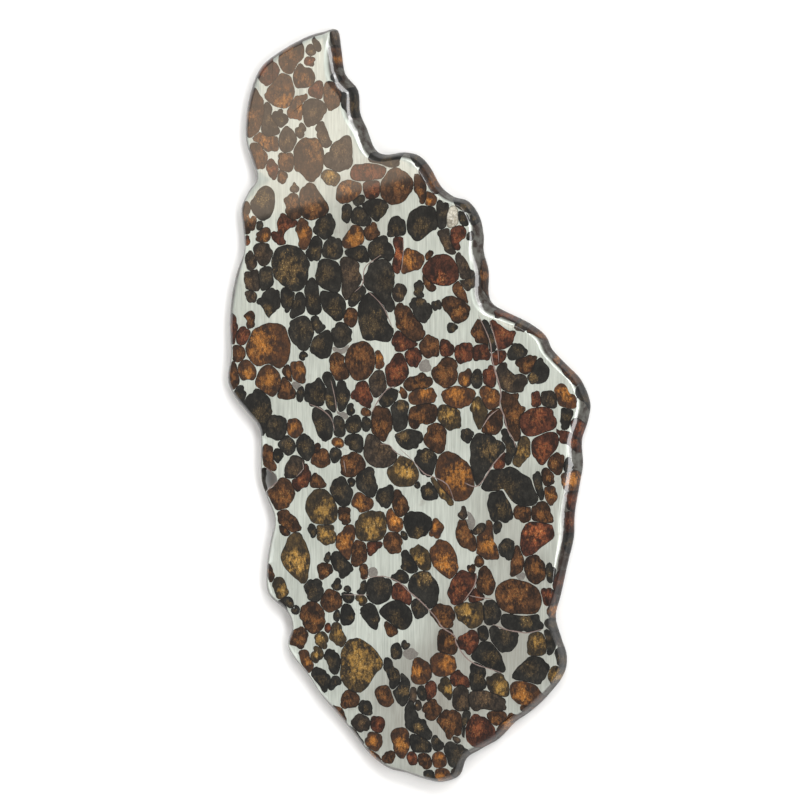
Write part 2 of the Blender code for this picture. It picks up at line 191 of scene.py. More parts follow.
NUMBERED = {
    Tone.INK: NUMBERED_INK, Tone.SMOKE: NUMBERED_SMOKE, Tone.UMBER: NUMBERED_UMBER,
    Tone.RUST: NUMBERED_RUST, Tone.AMBER: NUMBERED_AMBER, Tone.GOLD: NUMBERED_GOLD,
}

# The other grains
SMALL_INK = (
    (313, 35, 316, 38, 320, 48, 317, 50, 314, 46, 313, 41),
    (271, 113, 275, 110, 280, 109, 283, 113, 286, 118, 283, 123, 279, 125, 275, 121, 272, 117),
    (330, 76, 333, 72, 338, 74, 341, 79, 336, 79),
    (344, 92, 350, 86, 358, 88, 361, 97, 361, 108, 358, 116, 352, 117, 346, 112, 343, 104),
    (256, 221, 260, 221, 261, 226, 258, 229, 256, 226),
    (316, 222, 321, 216, 328, 213, 333, 217, 336, 224, 334, 230, 329, 236, 325, 238, 320, 234, 315, 230),
    (309, 249, 311, 242, 315, 237, 319, 239, 321, 244, 321, 251, 318, 258, 312, 260, 308, 257, 306, 252),
    (323, 250, 326, 243, 330, 238, 336, 238, 341, 241, 342, 248, 340, 255, 335, 259, 328, 258, 324, 255),
    (342, 215, 344, 206, 348, 203, 351, 208, 351, 215, 349, 220, 345, 222, 342, 219),
    (363, 205, 370, 200, 378, 200, 385, 202, 388, 208, 386, 214, 381, 219, 376, 220, 371, 217, 366, 212),
    (353, 213, 357, 208, 363, 207, 368, 212, 372, 218, 371, 224, 364, 226, 357, 224, 352, 220),
    (389, 224, 392, 218, 398, 216, 402, 219, 405, 225, 405, 232, 402, 235, 396, 236, 390, 235, 388, 230),
    (438, 203, 444, 204, 449, 207, 449, 212, 447, 218, 447, 226, 443, 230, 439, 228, 437, 218),
    (459, 213, 464, 215, 468, 219, 469, 224, 465, 226, 460, 222),
    (370, 153, 380, 151, 392, 153, 402, 152, 401, 160, 398, 165, 390, 166, 380, 163, 371, 161),
    (409, 152, 420, 154, 424, 160, 420, 167, 415, 164, 411, 159),
    (452, 199, 462, 200, 472, 202, 478, 210, 474, 215, 466, 212, 458, 207),
    (469, 236, 472, 232, 474, 237, 472, 242, 469, 241),
    (471, 216, 475, 214, 478, 220, 475, 226, 471, 223),
    (483, 322, 488, 324, 491, 330, 494, 338, 496, 346, 495, 352, 490, 352, 489, 342, 486, 333),
    (508, 354, 512, 350, 515, 346, 519, 344, 524, 347, 526, 352, 526, 356, 520, 359, 514, 360, 510, 358),
    (533, 371, 536, 363, 540, 360, 545, 364, 549, 370, 548, 377, 545, 382, 539, 384, 533, 383, 529, 380,
     528, 376),
    (448, 325, 455, 325, 457, 329, 454, 333, 449, 333),
    (434, 304, 437, 301, 441, 303, 441, 308, 437, 310, 434, 308),
    (415, 284, 419, 282, 423, 284, 423, 290, 424, 297, 419, 298, 416, 294, 415, 289),
    (411, 304, 415, 299, 421, 298, 426, 302, 430, 306, 432, 313, 430, 319, 425, 322, 419, 321, 416, 315,
     415, 309),
    (368, 252, 372, 243, 377, 238, 384, 237, 389, 242, 392, 250, 394, 254, 390, 262, 383, 258, 376, 261,
     371, 259),
    (347, 250, 354, 248, 362, 246, 368, 251, 370, 259, 365, 262, 358, 259, 352, 256, 348, 254),
    (473, 374, 478, 371, 482, 374, 483, 381, 480, 386, 475, 386, 471, 381),
    (503, 431, 507, 429, 510, 436, 515, 443, 517, 449, 514, 455, 511, 461, 507, 464, 505, 457, 507, 450,
     506, 443, 503, 438),
    (561, 409, 567, 409, 571, 411, 568, 419, 566, 426, 562, 428, 560, 421),
    (577, 385, 584, 392, 590, 402, 590, 412, 586, 412, 582, 402, 576, 393),
    (564, 461, 567, 458, 570, 462, 570, 468, 566, 471, 563, 468),
    (563, 533, 570, 532, 574, 540, 572, 550, 566, 553, 562, 545),
    (534, 474, 538, 472, 541, 478, 541, 486, 543, 493, 541, 499, 537, 495, 535, 485),
    (488, 500, 491, 492, 497, 491, 502, 490, 505, 497, 509, 504, 513, 514, 510, 518, 507, 522, 500, 519,
     495, 521, 491, 515, 488, 507),
    (499, 548, 501, 541, 505, 537, 510, 537, 514, 542, 514, 551, 511, 558, 505, 556, 500, 552),
    (545, 565, 549, 562, 553, 566, 554, 573, 551, 580, 548, 577, 546, 571),
    (546, 620, 549, 616, 553, 620, 554, 628, 550, 626),
    (484, 604, 490, 598, 497, 601, 501, 609, 500, 617, 493, 621, 486, 620, 484, 612),
    (502, 613, 510, 612, 518, 614, 524, 615, 530, 613, 537, 612, 540, 618, 541, 624, 533, 628, 524, 628,
     515, 627, 507, 624, 502, 619),
    (490, 628, 495, 625, 502, 628, 510, 630, 517, 631, 518, 638, 515, 645, 510, 649, 503, 649, 497, 643,
     492, 636),
    (478, 627, 484, 624, 488, 628, 489, 634, 485, 640, 480, 637),
    (471, 663, 478, 662, 484, 665, 484, 671, 483, 676, 486, 679, 485, 685, 479, 688, 472, 687, 471, 678,
     471, 670),
    (545, 628, 550, 629, 556, 633, 554, 641, 551, 648, 547, 650, 546, 640),
    (555, 650, 560, 644, 565, 650, 567, 657, 564, 663, 557, 660),
    (418, 693, 420, 687, 424, 685, 427, 691, 427, 698, 422, 698),
    (405, 714, 407, 706, 410, 700, 415, 702, 416, 709, 418, 715, 424, 719, 429, 725, 432, 733, 430, 738,
     424, 736, 417, 732, 410, 727, 406, 721),
    (411, 735, 418, 734, 426, 738, 432, 742, 431, 749, 424, 751, 416, 750, 411, 744),
    (432, 740, 434, 735, 439, 736, 443, 741, 442, 746, 437, 748, 433, 745),
    (424, 773, 428, 770, 434, 771, 435, 778, 430, 779, 426, 777),
    (446, 747, 450, 741, 456, 741, 463, 744, 469, 749, 467, 756, 463, 763, 457, 766, 451, 762, 447, 755),
    (464, 709, 470, 709, 470, 716, 466, 724, 466, 734, 463, 732, 463, 720),
    (312, 673, 315, 669, 321, 669, 327, 674, 331, 680, 329, 687, 325, 692, 318, 685, 313, 679),
    (331, 679, 337, 678, 341, 682, 338, 686, 331, 690, 328, 688),
    (326, 658, 329, 652, 334, 651, 338, 657, 340, 664, 338, 670, 335, 674, 330, 668, 327, 663),
    (386, 665, 387, 659, 391, 661, 395, 667, 400, 673, 401, 680, 397, 686, 393, 688, 390, 680, 387, 672),
    (396, 688, 401, 680, 401, 671, 406, 674, 411, 681, 411, 690, 410, 699, 405, 706, 400, 705, 396, 698,
     393, 691),
    (391, 650, 393, 644, 398, 642, 402, 646, 403, 653, 400, 658, 395, 658, 392, 655),
    (402, 645, 405, 641, 409, 643, 409, 647, 405, 649),
    (412, 602, 417, 598, 423, 600, 427, 606, 427, 612, 423, 617, 417, 616, 413, 610),
    (393, 577, 397, 572, 403, 571, 407, 576, 407, 581, 400, 581),
    (359, 591, 362, 585, 366, 581, 367, 588, 365, 593, 360, 593),
    (361, 612, 364, 607, 370, 604, 376, 609, 379, 616, 379, 623, 377, 630, 371, 627, 366, 621, 362, 616),
    (342, 610, 345, 605, 351, 607, 355, 612, 355, 619, 351, 625, 345, 625, 341, 620),
    (335, 620, 336, 612, 339, 611, 340, 617, 338, 622),
    (333, 585, 335, 581, 339, 581, 341, 586, 338, 590, 334, 589),
    (345, 590, 348, 588, 351, 591, 348, 593),
    (304, 590, 307, 585, 311, 581, 317, 581, 321, 585, 323, 592, 321, 598, 317, 602, 311, 601, 307, 596),
    (282, 600, 287, 598, 291, 602, 294, 608, 290, 609, 285, 606),
    (276, 606, 280, 602, 285, 605, 286, 610, 283, 613, 278, 610),
    (291, 610, 294, 606, 299, 610, 298, 614, 293, 613),
    (325, 555, 328, 553, 329, 558, 328, 563, 325, 561),
    (332, 561, 334, 555, 339, 552, 343, 556, 348, 561, 352, 566, 352, 571, 348, 576, 342, 577, 338, 572,
     334, 567),
    (307, 529, 311, 526, 315, 528, 317, 533, 314, 537, 310, 535),
    (258, 270, 263, 268, 270, 267, 271, 275, 270, 283, 265, 287, 260, 289, 258, 280),
    (257, 300, 262, 295, 266, 291, 271, 289, 276, 290, 279, 296, 279, 303, 276, 309, 272, 313, 268, 317,
     265, 314, 262, 308, 259, 304),
    (281, 292, 284, 286, 289, 286, 294, 290, 294, 297, 292, 303, 290, 309, 286, 311, 283, 306, 280, 299),
    (293, 297, 297, 293, 302, 294, 305, 299, 305, 306, 302, 311, 297, 315, 292, 318, 290, 312, 292, 305),
    (306, 290, 308, 283, 312, 279, 316, 283, 317, 290, 320, 296, 322, 303, 321, 309, 316, 313, 311, 312,
     306, 306, 306, 298),
    (331, 332, 335, 327, 340, 323, 346, 324, 351, 330, 352, 337, 349, 341, 345, 346, 338, 347, 334, 343,
     333, 337),
    (310, 320, 313, 317, 318, 318, 322, 322, 324, 327, 322, 331, 318, 333, 314, 328, 311, 324),
    (301, 352, 304, 351, 306, 355, 304, 358, 301, 357),
    (297, 390, 301, 386, 303, 390, 303, 396, 300, 400, 297, 397),
    (233, 391, 236, 386, 240, 387, 243, 392, 243, 398, 240, 405, 236, 401, 233, 396),
    (279, 443, 282, 438, 287, 436, 291, 440, 294, 446, 292, 451, 287, 454, 282, 451, 279, 447),
    (297, 444, 300, 437, 305, 435, 310, 437, 313, 443, 315, 449, 312, 455, 308, 460, 303, 459, 299, 453),
    (272, 454, 275, 450, 280, 450, 282, 455, 280, 461, 277, 462, 273, 459),
    (330, 454, 334, 449, 339, 450, 340, 456, 337, 460, 333, 462, 330, 458),
    (312, 412, 316, 407, 322, 410, 328, 412, 332, 418, 332, 428, 330, 436, 326, 442, 321, 439, 317, 434,
     315, 426, 312, 419),
    (305, 392, 307, 386, 313, 382, 319, 379, 324, 383, 326, 390, 325, 397, 322, 404, 316, 406, 310, 404,
     305, 399),
    (322, 380, 326, 374, 331, 373, 334, 379, 336, 387, 336, 396, 337, 405, 335, 412, 331, 408, 327, 402,
     324, 394, 323, 387),
    (338, 382, 343, 380, 347, 386, 349, 394, 347, 402, 344, 410, 340, 412, 338, 405, 337, 395),
    (334, 420, 338, 416, 343, 418, 345, 424, 345, 431, 341, 436, 336, 434, 335, 427),
    (331, 488, 333, 481, 338, 478, 344, 478, 348, 483, 352, 490, 352, 498, 349, 505, 342, 507, 336, 502,
     332, 496),
    (347, 482, 351, 478, 355, 481, 353, 486, 349, 486),
    (357, 476, 364, 470, 371, 468, 375, 475, 377, 483, 376, 490, 373, 497, 367, 496, 361, 490, 358, 484),
    (378, 498, 380, 491, 385, 487, 391, 486, 394, 490, 394, 498, 391, 504, 386, 507, 381, 505),
    (405, 520, 407, 514, 413, 512, 420, 511, 427, 514, 432, 519, 433, 526, 429, 531, 423, 536, 416, 538,
     410, 535, 407, 529),
    (402, 531, 407, 533, 407, 538, 403, 537),
    (402, 562, 403, 555, 407, 551, 412, 556, 416, 562, 418, 569, 413, 571, 407, 569, 403, 567),
    (494, 517, 498, 517, 501, 523, 501, 530, 497, 532, 494, 527),
    (416, 458, 419, 452, 425, 449, 431, 450, 436, 455, 437, 461, 434, 468, 431, 474, 426, 475, 421, 470,
     418, 464),
    (422, 493, 425, 486, 430, 483, 435, 487, 438, 491, 437, 498, 430, 500, 424, 499),
    (397, 435, 402, 431, 410, 430, 417, 431, 422, 436, 421, 442, 416, 447, 409, 450, 402, 447, 397, 441),
    (381, 398, 385, 391, 392, 388, 399, 391, 397, 396, 393, 402, 388, 407, 382, 406),
    (392, 408, 397, 404, 403, 402, 408, 405, 408, 413, 408, 422, 404, 430, 398, 432, 394, 425, 393, 416),
    (414, 484, 418, 480, 420, 484, 418, 487),
    (347, 420, 351, 416, 358, 417, 362, 423, 361, 429, 355, 433, 349, 431, 346, 426),
    (363, 420, 366, 417, 371, 420, 372, 426, 368, 430, 363, 428),
    (347, 441, 350, 436, 356, 434, 362, 439, 364, 447, 361, 452, 354, 449, 349, 446),
    (349, 405, 353, 406, 354, 412, 351, 416, 348, 413),
    (461, 436, 464, 430, 469, 428, 473, 432, 472, 438, 469, 442, 464, 441),
    (361, 706, 364, 701, 370, 701, 373, 706, 372, 712, 366, 714, 362, 711),
    (352, 199, 358, 195, 365, 196, 364, 203, 357, 205),
    (349, 300, 355, 291, 363, 286, 366, 292, 360, 300, 352, 306),
    (343, 594, 349, 592, 354, 597, 350, 602, 345, 600),
    (350, 728, 358, 735, 363, 743, 357, 748, 350, 741, 346, 733),
)
SMALL_SMOKE = (
    (307, 50, 309, 45, 312, 43, 314, 46, 316, 50, 313, 53, 310, 55),
    (262, 104, 266, 101, 269, 106, 270, 112, 273, 119, 277, 125, 279, 131, 272, 134, 264, 133, 260, 127,
     262, 115),
    (297, 127, 301, 123, 304, 126, 304, 131, 301, 136, 297, 135, 295, 131),
    (317, 127, 318, 122, 322, 121, 326, 127, 329, 134, 331, 141, 328, 144, 324, 145, 321, 139, 318, 133),
    (330, 30, 338, 28, 341, 38, 338, 44, 331, 43),
    (254, 247, 258, 242, 264, 243, 269, 246, 271, 252, 269, 257, 265, 262, 261, 263, 256, 259, 254, 253),
    (245, 252, 249, 251, 253, 256, 255, 262, 252, 268, 249, 270, 246, 266, 243, 259),
    (291, 190, 292, 184, 294, 181, 297, 186, 296, 191),
    (440, 232, 445, 230, 450, 231, 451, 240, 453, 247, 456, 253, 451, 254, 446, 250, 442, 244, 440, 238),
    (458, 255, 462, 256, 466, 260, 469, 266, 472, 272, 475, 276, 470, 279, 463, 280, 458, 272, 456, 263),
    (460, 281, 468, 277, 477, 276, 480, 281, 476, 287, 470, 290, 465, 289),
    (393, 293, 396, 287, 401, 284, 406, 286, 408, 291, 405, 297, 400, 300, 396, 299),
    (341, 262, 347, 258, 353, 260, 358, 264, 360, 272, 360, 282, 357, 289, 352, 295, 346, 300, 342, 290,
     341, 275),
    (500, 366, 505, 364, 509, 370, 515, 375, 523, 375, 527, 381, 524, 388, 519, 392, 512, 393, 504, 390,
     500, 382, 498, 373),
    (541, 396, 545, 391, 553, 392, 556, 398, 555, 406, 549, 408, 542, 405),
    (471, 690, 480, 688, 490, 690, 500, 693, 505, 699, 505, 706, 497, 708, 488, 706, 478, 707, 471, 704,
     469, 697),
    (454, 690, 460, 683, 466, 685, 470, 691, 470, 701, 469, 710, 464, 709, 457, 707, 455, 700),
    (411, 688, 416, 688, 417, 696, 415, 702, 410, 700),
    (417, 700, 420, 700, 421, 706, 418, 709, 415, 706),
    (453, 767, 459, 766, 464, 766, 463, 774, 457, 778, 452, 774),
    (453, 735, 458, 735, 460, 739, 457, 742),
    (242, 277, 245, 272, 250, 270, 258, 270, 259, 288, 251, 289, 246, 287, 243, 282),
    (245, 292, 249, 290, 253, 292, 254, 297, 252, 301, 248, 302, 245, 298),
    (261, 472, 265, 469, 270, 472, 274, 478, 276, 482, 271, 487, 266, 491, 262, 490, 259, 482),
    (284, 468, 287, 462, 293, 458, 303, 458, 304, 464, 302, 471, 299, 476, 293, 478, 287, 477, 284, 473),
    (371, 378, 376, 372, 382, 372, 386, 378, 387, 386, 386, 391, 381, 395, 375, 396, 371, 390, 370, 384),
    (460, 513, 463, 507, 466, 509, 468, 515, 464, 519, 461, 517),
    (353, 721, 357, 715, 364, 716, 369, 721, 368, 728, 362, 731, 356, 728),
    (518, 320, 525, 323, 523, 332, 516, 328),
    (472, 530, 480, 524, 486, 523, 484, 530, 476, 534),
)
SMALL_UMBER = (
    (247, 148, 251, 142, 257, 141, 262, 147, 265, 153, 266, 159, 264, 164, 259, 167, 255, 167, 252, 161,
     249, 155),
    (279, 168, 285, 169, 286, 176, 285, 181, 281, 183, 278, 178, 277, 172),
    (239, 204, 244, 199, 248, 205, 247, 213, 249, 217, 253, 216, 255, 221, 252, 227, 248, 230, 243, 230,
     240, 222, 238, 213),
    (283, 198, 289, 194, 294, 192, 299, 197, 300, 206, 301, 215, 295, 219, 289, 217, 286, 211, 285, 204),
    (417, 176, 421, 180, 425, 186, 427, 192, 427, 198, 425, 204, 421, 202, 418, 195, 416, 187),
    (422, 166, 428, 163, 436, 173, 443, 184, 441, 192, 436, 194, 431, 187, 426, 180, 421, 173),
    (480, 262, 484, 258, 488, 264, 491, 275, 491, 290, 488, 300, 484, 296, 481, 285, 480, 272),
    (424, 274, 429, 281, 436, 287, 433, 290, 427, 286, 424, 280),
    (454, 286, 458, 282, 462, 283, 464, 290, 466, 298, 468, 304, 462, 302, 458, 298, 456, 292),
    (471, 333, 474, 326, 478, 321, 482, 325, 485, 331, 488, 337, 489, 345, 485, 344, 480, 343, 475, 339),
    (516, 361, 522, 358, 530, 356, 536, 358, 533, 364, 531, 370, 527, 374, 522, 373, 519, 368),
    (367, 227, 373, 222, 378, 228, 380, 235, 374, 240, 367, 238, 365, 232),
    (427, 257, 430, 251, 433, 254, 432, 260, 428, 262),
    (421, 345, 425, 339, 430, 336, 436, 338, 440, 344, 440, 351, 437, 356, 431, 357, 425, 355, 422, 351),
    (489, 414, 494, 409, 500, 409, 503, 413, 502, 420, 500, 427, 495, 433, 488, 433, 483, 431, 486, 424),
    (503, 391, 511, 394, 518, 393, 518, 400, 521, 406, 524, 410, 520, 415, 519, 424, 520, 433, 519, 440,
     514, 440, 509, 432, 506, 422, 503, 412, 502, 400),
    (530, 328, 540, 331, 549, 338, 550, 346, 543, 342, 535, 337, 528, 333),
    (548, 460, 551, 455, 556, 453, 561, 455, 563, 460, 562, 467, 558, 472, 553, 470, 549, 466),
    (542, 472, 546, 468, 550, 472, 553, 478, 551, 483, 546, 485, 543, 480),
    (514, 512, 517, 504, 524, 501, 530, 504, 531, 511, 530, 518, 524, 520, 517, 517),
    (531, 504, 540, 500, 546, 503, 550, 511, 553, 516, 551, 520, 543, 522, 535, 520, 531, 515),
    (513, 545, 519, 545, 522, 553, 524, 562, 521, 570, 515, 574, 511, 572, 511, 560),
    (469, 567, 471, 564, 474, 566, 475, 571, 470, 571),
    (479, 577, 481, 570, 485, 566, 490, 568, 493, 574, 495, 581, 492, 590, 486, 592, 479, 590, 477, 585),
    (521, 702, 529, 700, 537, 697, 541, 703, 535, 708, 529, 709, 523, 707),
    (489, 712, 495, 707, 503, 708, 507, 713, 503, 719, 497, 722, 491, 718),
    (438, 640, 439, 633, 444, 628, 450, 628, 454, 634, 457, 641, 456, 648, 452, 653, 445, 651, 439, 648),
    (425, 706, 428, 700, 433, 698, 438, 701, 442, 708, 439, 714, 434, 717, 428, 715, 425, 710),
    (432, 611, 437, 606, 444, 603, 451, 607, 455, 612, 454, 620, 450, 626, 443, 626, 436, 620),
    (419, 754, 425, 751, 430, 756, 432, 762, 427, 766, 421, 763),
    (438, 718, 442, 712, 448, 709, 455, 709, 461, 713, 463, 721, 463, 729, 458, 734, 451, 737, 446, 731,
     441, 725),
    (289, 640, 292, 632, 298, 629, 304, 630, 307, 637, 306, 644, 301, 649, 294, 647, 289, 646),
    (375, 692, 378, 687, 384, 685, 389, 689, 392, 696, 393, 702, 390, 706, 384, 706, 379, 702),
    (386, 622, 390, 617, 396, 619, 398, 626, 397, 633, 392, 637, 387, 633),
    (321, 603, 323, 597, 326, 593, 331, 591, 337, 593, 341, 599, 341, 606, 336, 610, 329, 611, 323, 608),
    (266, 566, 269, 565, 272, 571, 272, 577, 270, 582, 267, 580, 265, 573),
    (317, 570, 318, 565, 324, 564, 330, 565, 332, 569, 330, 575, 325, 579, 320, 577),
    (352, 560, 353, 549, 356, 541, 362, 541, 367, 546, 367, 555, 364, 563, 358, 566, 353, 565),
    (277, 515, 283, 511, 290, 514, 297, 520, 300, 528, 296, 532, 291, 533, 285, 529, 279, 524),
    (279, 526, 284, 527, 290, 533, 287, 536, 281, 532),
    (345, 312, 348, 309, 353, 309, 357, 312, 358, 318, 355, 323, 351, 327, 346, 324, 344, 318),
    (242, 315, 246, 311, 251, 310, 254, 315, 253, 321, 250, 326, 246, 328, 246, 322, 244, 318),
    (231, 350, 234, 347, 239, 347, 243, 351, 242, 356, 239, 360, 234, 360, 231, 356),
    (226, 372, 229, 364, 232, 363, 235, 371, 237, 379, 236, 386, 232, 389, 228, 385, 225, 378),
    (283, 371, 285, 366, 289, 366, 291, 374, 291, 381, 287, 379, 284, 375),
    (278, 379, 284, 377, 288, 381, 292, 387, 295, 392, 293, 398, 287, 400, 281, 399, 277, 394, 277, 386),
    (312, 447, 317, 444, 320, 447, 318, 452, 313, 452),
    (261, 448, 265, 444, 269, 447, 272, 452, 272, 460, 274, 468, 272, 471, 266, 468, 262, 462, 260, 455),
    (310, 481, 313, 475, 318, 475, 323, 479, 325, 484, 322, 488, 315, 487, 311, 485),
    (267, 491, 272, 488, 278, 481, 284, 480, 290, 483, 293, 489, 294, 497, 291, 503, 286, 507, 279, 510,
     273, 507, 269, 500, 266, 494),
    (312, 458, 316, 452, 321, 449, 327, 452, 331, 458, 329, 464, 324, 468, 318, 468, 313, 464),
    (331, 358, 336, 352, 343, 355, 349, 360, 352, 368, 350, 375, 343, 380, 336, 380, 332, 373, 330, 366),
    (338, 512, 340, 507, 346, 507, 350, 511, 351, 518, 348, 523, 343, 523, 340, 518),
    (341, 468, 342, 460, 347, 455, 354, 453, 361, 457, 365, 463, 365, 470, 360, 475, 353, 477, 347, 476,
     343, 473),
    (393, 492, 397, 490, 403, 494, 408, 500, 409, 507, 406, 513, 400, 517, 395, 512, 393, 503),
    (385, 537, 391, 532, 399, 533, 402, 540, 401, 548, 396, 553, 390, 553, 386, 547),
    (456, 533, 458, 525, 462, 517, 467, 520, 470, 528, 475, 533, 477, 541, 476, 549, 468, 548, 460, 544),
    (478, 554, 483, 556, 483, 562, 479, 564, 477, 560),
    (426, 438, 429, 429, 434, 424, 441, 424, 446, 430, 447, 438, 446, 446, 441, 452, 435, 451, 429, 446),
    (411, 410, 417, 406, 424, 404, 432, 404, 438, 408, 438, 416, 434, 422, 428, 423, 421, 424, 416, 429,
     411, 425, 409, 417),
    (405, 384, 409, 379, 416, 376, 423, 375, 430, 378, 432, 384, 427, 389, 420, 388, 413, 391, 407, 389),
    (389, 388, 395, 385, 403, 386, 409, 391, 410, 398, 406, 400, 402, 394, 397, 393, 391, 391),
    (372, 420, 374, 412, 380, 406, 388, 408, 392, 415, 393, 425, 390, 433, 386, 440, 379, 443, 374, 436,
     372, 428),
    (363, 413, 365, 408, 370, 411, 371, 415, 366, 416),
    (341, 699, 344, 693, 351, 691, 357, 695, 358, 702, 353, 708, 346, 708, 342, 704),
    (384, 756, 387, 751, 393, 752, 395, 758, 392, 763, 386, 762),
    (558, 360, 565, 364, 573, 371, 579, 380, 577, 387, 569, 381, 561, 372),
    (360, 566, 365, 564, 369, 570, 367, 578, 362, 577),
    (334, 706, 341, 711, 347, 719, 344, 726, 336, 720, 331, 712),
)
SMALL_RUST = (
    (252, 72, 254, 66, 259, 60, 265, 56, 271, 55, 273, 61, 277, 66, 277, 71, 274, 77, 270, 81, 264, 82,
     260, 80, 257, 76),
    (307, 56, 311, 55, 314, 59, 312, 63, 309, 62, 306, 61),
    (309, 88, 311, 83, 314, 81, 319, 81, 322, 84, 323, 90, 322, 96, 319, 98, 315, 96, 311, 93),
    (266, 160, 270, 158, 273, 162, 277, 164, 278, 170, 276, 175, 272, 177, 268, 174, 266, 168),
    (243, 237, 247, 236, 249, 240, 247, 244, 244, 244),
    (276, 222, 279, 215, 284, 214, 290, 217, 297, 218, 296, 224, 290, 227, 285, 231, 283, 236, 284, 242,
     277, 242, 273, 240, 272, 232, 277, 230),
    (364, 187, 366, 182, 373, 180, 379, 182, 381, 188, 379, 195, 374, 198, 367, 198),
    (451, 232, 455, 229, 462, 228, 465, 232, 464, 239, 460, 244, 459, 250, 455, 250, 452, 244, 450, 237),
    (457, 350, 460, 345, 465, 343, 471, 345, 474, 350, 473, 358, 468, 362, 462, 363, 458, 358),
    (473, 349, 477, 347, 482, 345, 487, 343, 490, 350, 491, 356, 487, 360, 480, 360, 474, 359),
    (491, 323, 498, 324, 505, 329, 512, 333, 515, 336, 511, 342, 507, 346, 503, 350, 498, 350, 496, 343,
     494, 334),
    (393, 340, 396, 334, 400, 331, 405, 336, 412, 341, 418, 344, 414, 348, 406, 350, 399, 351, 395, 347),
    (396, 238, 403, 239, 404, 248, 403, 258, 401, 268, 398, 273, 393, 268, 395, 258, 398, 250, 396, 243),
    (406, 355, 409, 350, 415, 347, 420, 351, 422, 357, 420, 363, 416, 367, 411, 365, 407, 361),
    (440, 345, 443, 341, 448, 340, 452, 344, 453, 350, 450, 355, 444, 355, 441, 352),
    (483, 374, 488, 369, 492, 367, 494, 373, 495, 381, 493, 388, 488, 386, 484, 382),
    (531, 394, 536, 392, 540, 397, 541, 404, 536, 407, 532, 404),
    (554, 430, 560, 431, 567, 433, 573, 437, 577, 444, 580, 450, 575, 452, 569, 447, 563, 442, 558, 440),
    (572, 421, 577, 418, 582, 424, 584, 432, 581, 442, 577, 441, 573, 434),
    (493, 311, 502, 310, 512, 314, 520, 320, 514, 322, 504, 318, 496, 317),
    (566, 492, 572, 490, 577, 488, 576, 497, 575, 508, 570, 510, 566, 505, 565, 497),
    (494, 466, 497, 459, 502, 455, 506, 452, 507, 458, 505, 464, 502, 470, 496, 470),
    (556, 571, 561, 568, 566, 566, 564, 577, 561, 588, 556, 592, 553, 585, 553, 577),
    (541, 589, 546, 586, 552, 588, 554, 594, 553, 600, 548, 603, 544, 600, 542, 594),
    (448, 590, 452, 582, 457, 574, 462, 571, 469, 571, 475, 571, 477, 577, 475, 584, 472, 590, 468, 595,
     463, 600, 457, 604, 452, 600, 449, 595),
    (470, 596, 473, 590, 478, 585, 482, 590, 484, 596, 478, 600, 471, 601),
    (459, 639, 463, 633, 470, 630, 477, 630, 480, 635, 478, 643, 475, 650, 470, 652, 464, 648, 460, 644),
    (451, 676, 455, 671, 460, 669, 465, 673, 469, 679, 470, 685, 464, 687, 457, 685, 453, 682),
    (426, 684, 431, 680, 435, 684, 435, 692, 432, 697, 428, 700, 426, 693),
    (408, 754, 413, 751, 418, 756, 416, 763, 410, 763),
    (326, 626, 329, 625, 331, 629, 329, 633, 326, 630),
    (392, 588, 398, 583, 404, 587, 409, 592, 412, 598, 412, 604, 405, 606, 398, 603, 393, 598),
    (367, 546, 370, 541, 377, 541, 382, 543, 379, 549, 374, 554, 369, 554),
    (235, 332, 239, 328, 244, 327, 248, 330, 249, 335, 247, 340, 242, 343, 237, 342, 235, 337),
    (227, 315, 230, 312, 234, 316, 235, 322, 235, 330, 233, 336, 231, 342, 228, 340, 226, 328),
    (305, 464, 309, 470, 311, 478, 308, 484, 303, 488, 297, 491, 293, 488, 292, 481, 298, 478, 303, 472),
    (354, 392, 359, 383, 364, 380, 369, 385, 371, 393, 372, 401, 370, 408, 364, 405, 357, 401, 353, 397),
    (373, 720, 377, 716, 383, 717, 386, 722, 384, 729, 378, 731, 373, 727),
    (564, 512, 573, 510, 574, 520, 573, 530, 567, 532, 563, 522),
    (492, 350, 500, 348, 506, 354, 502, 362, 494, 364),
)
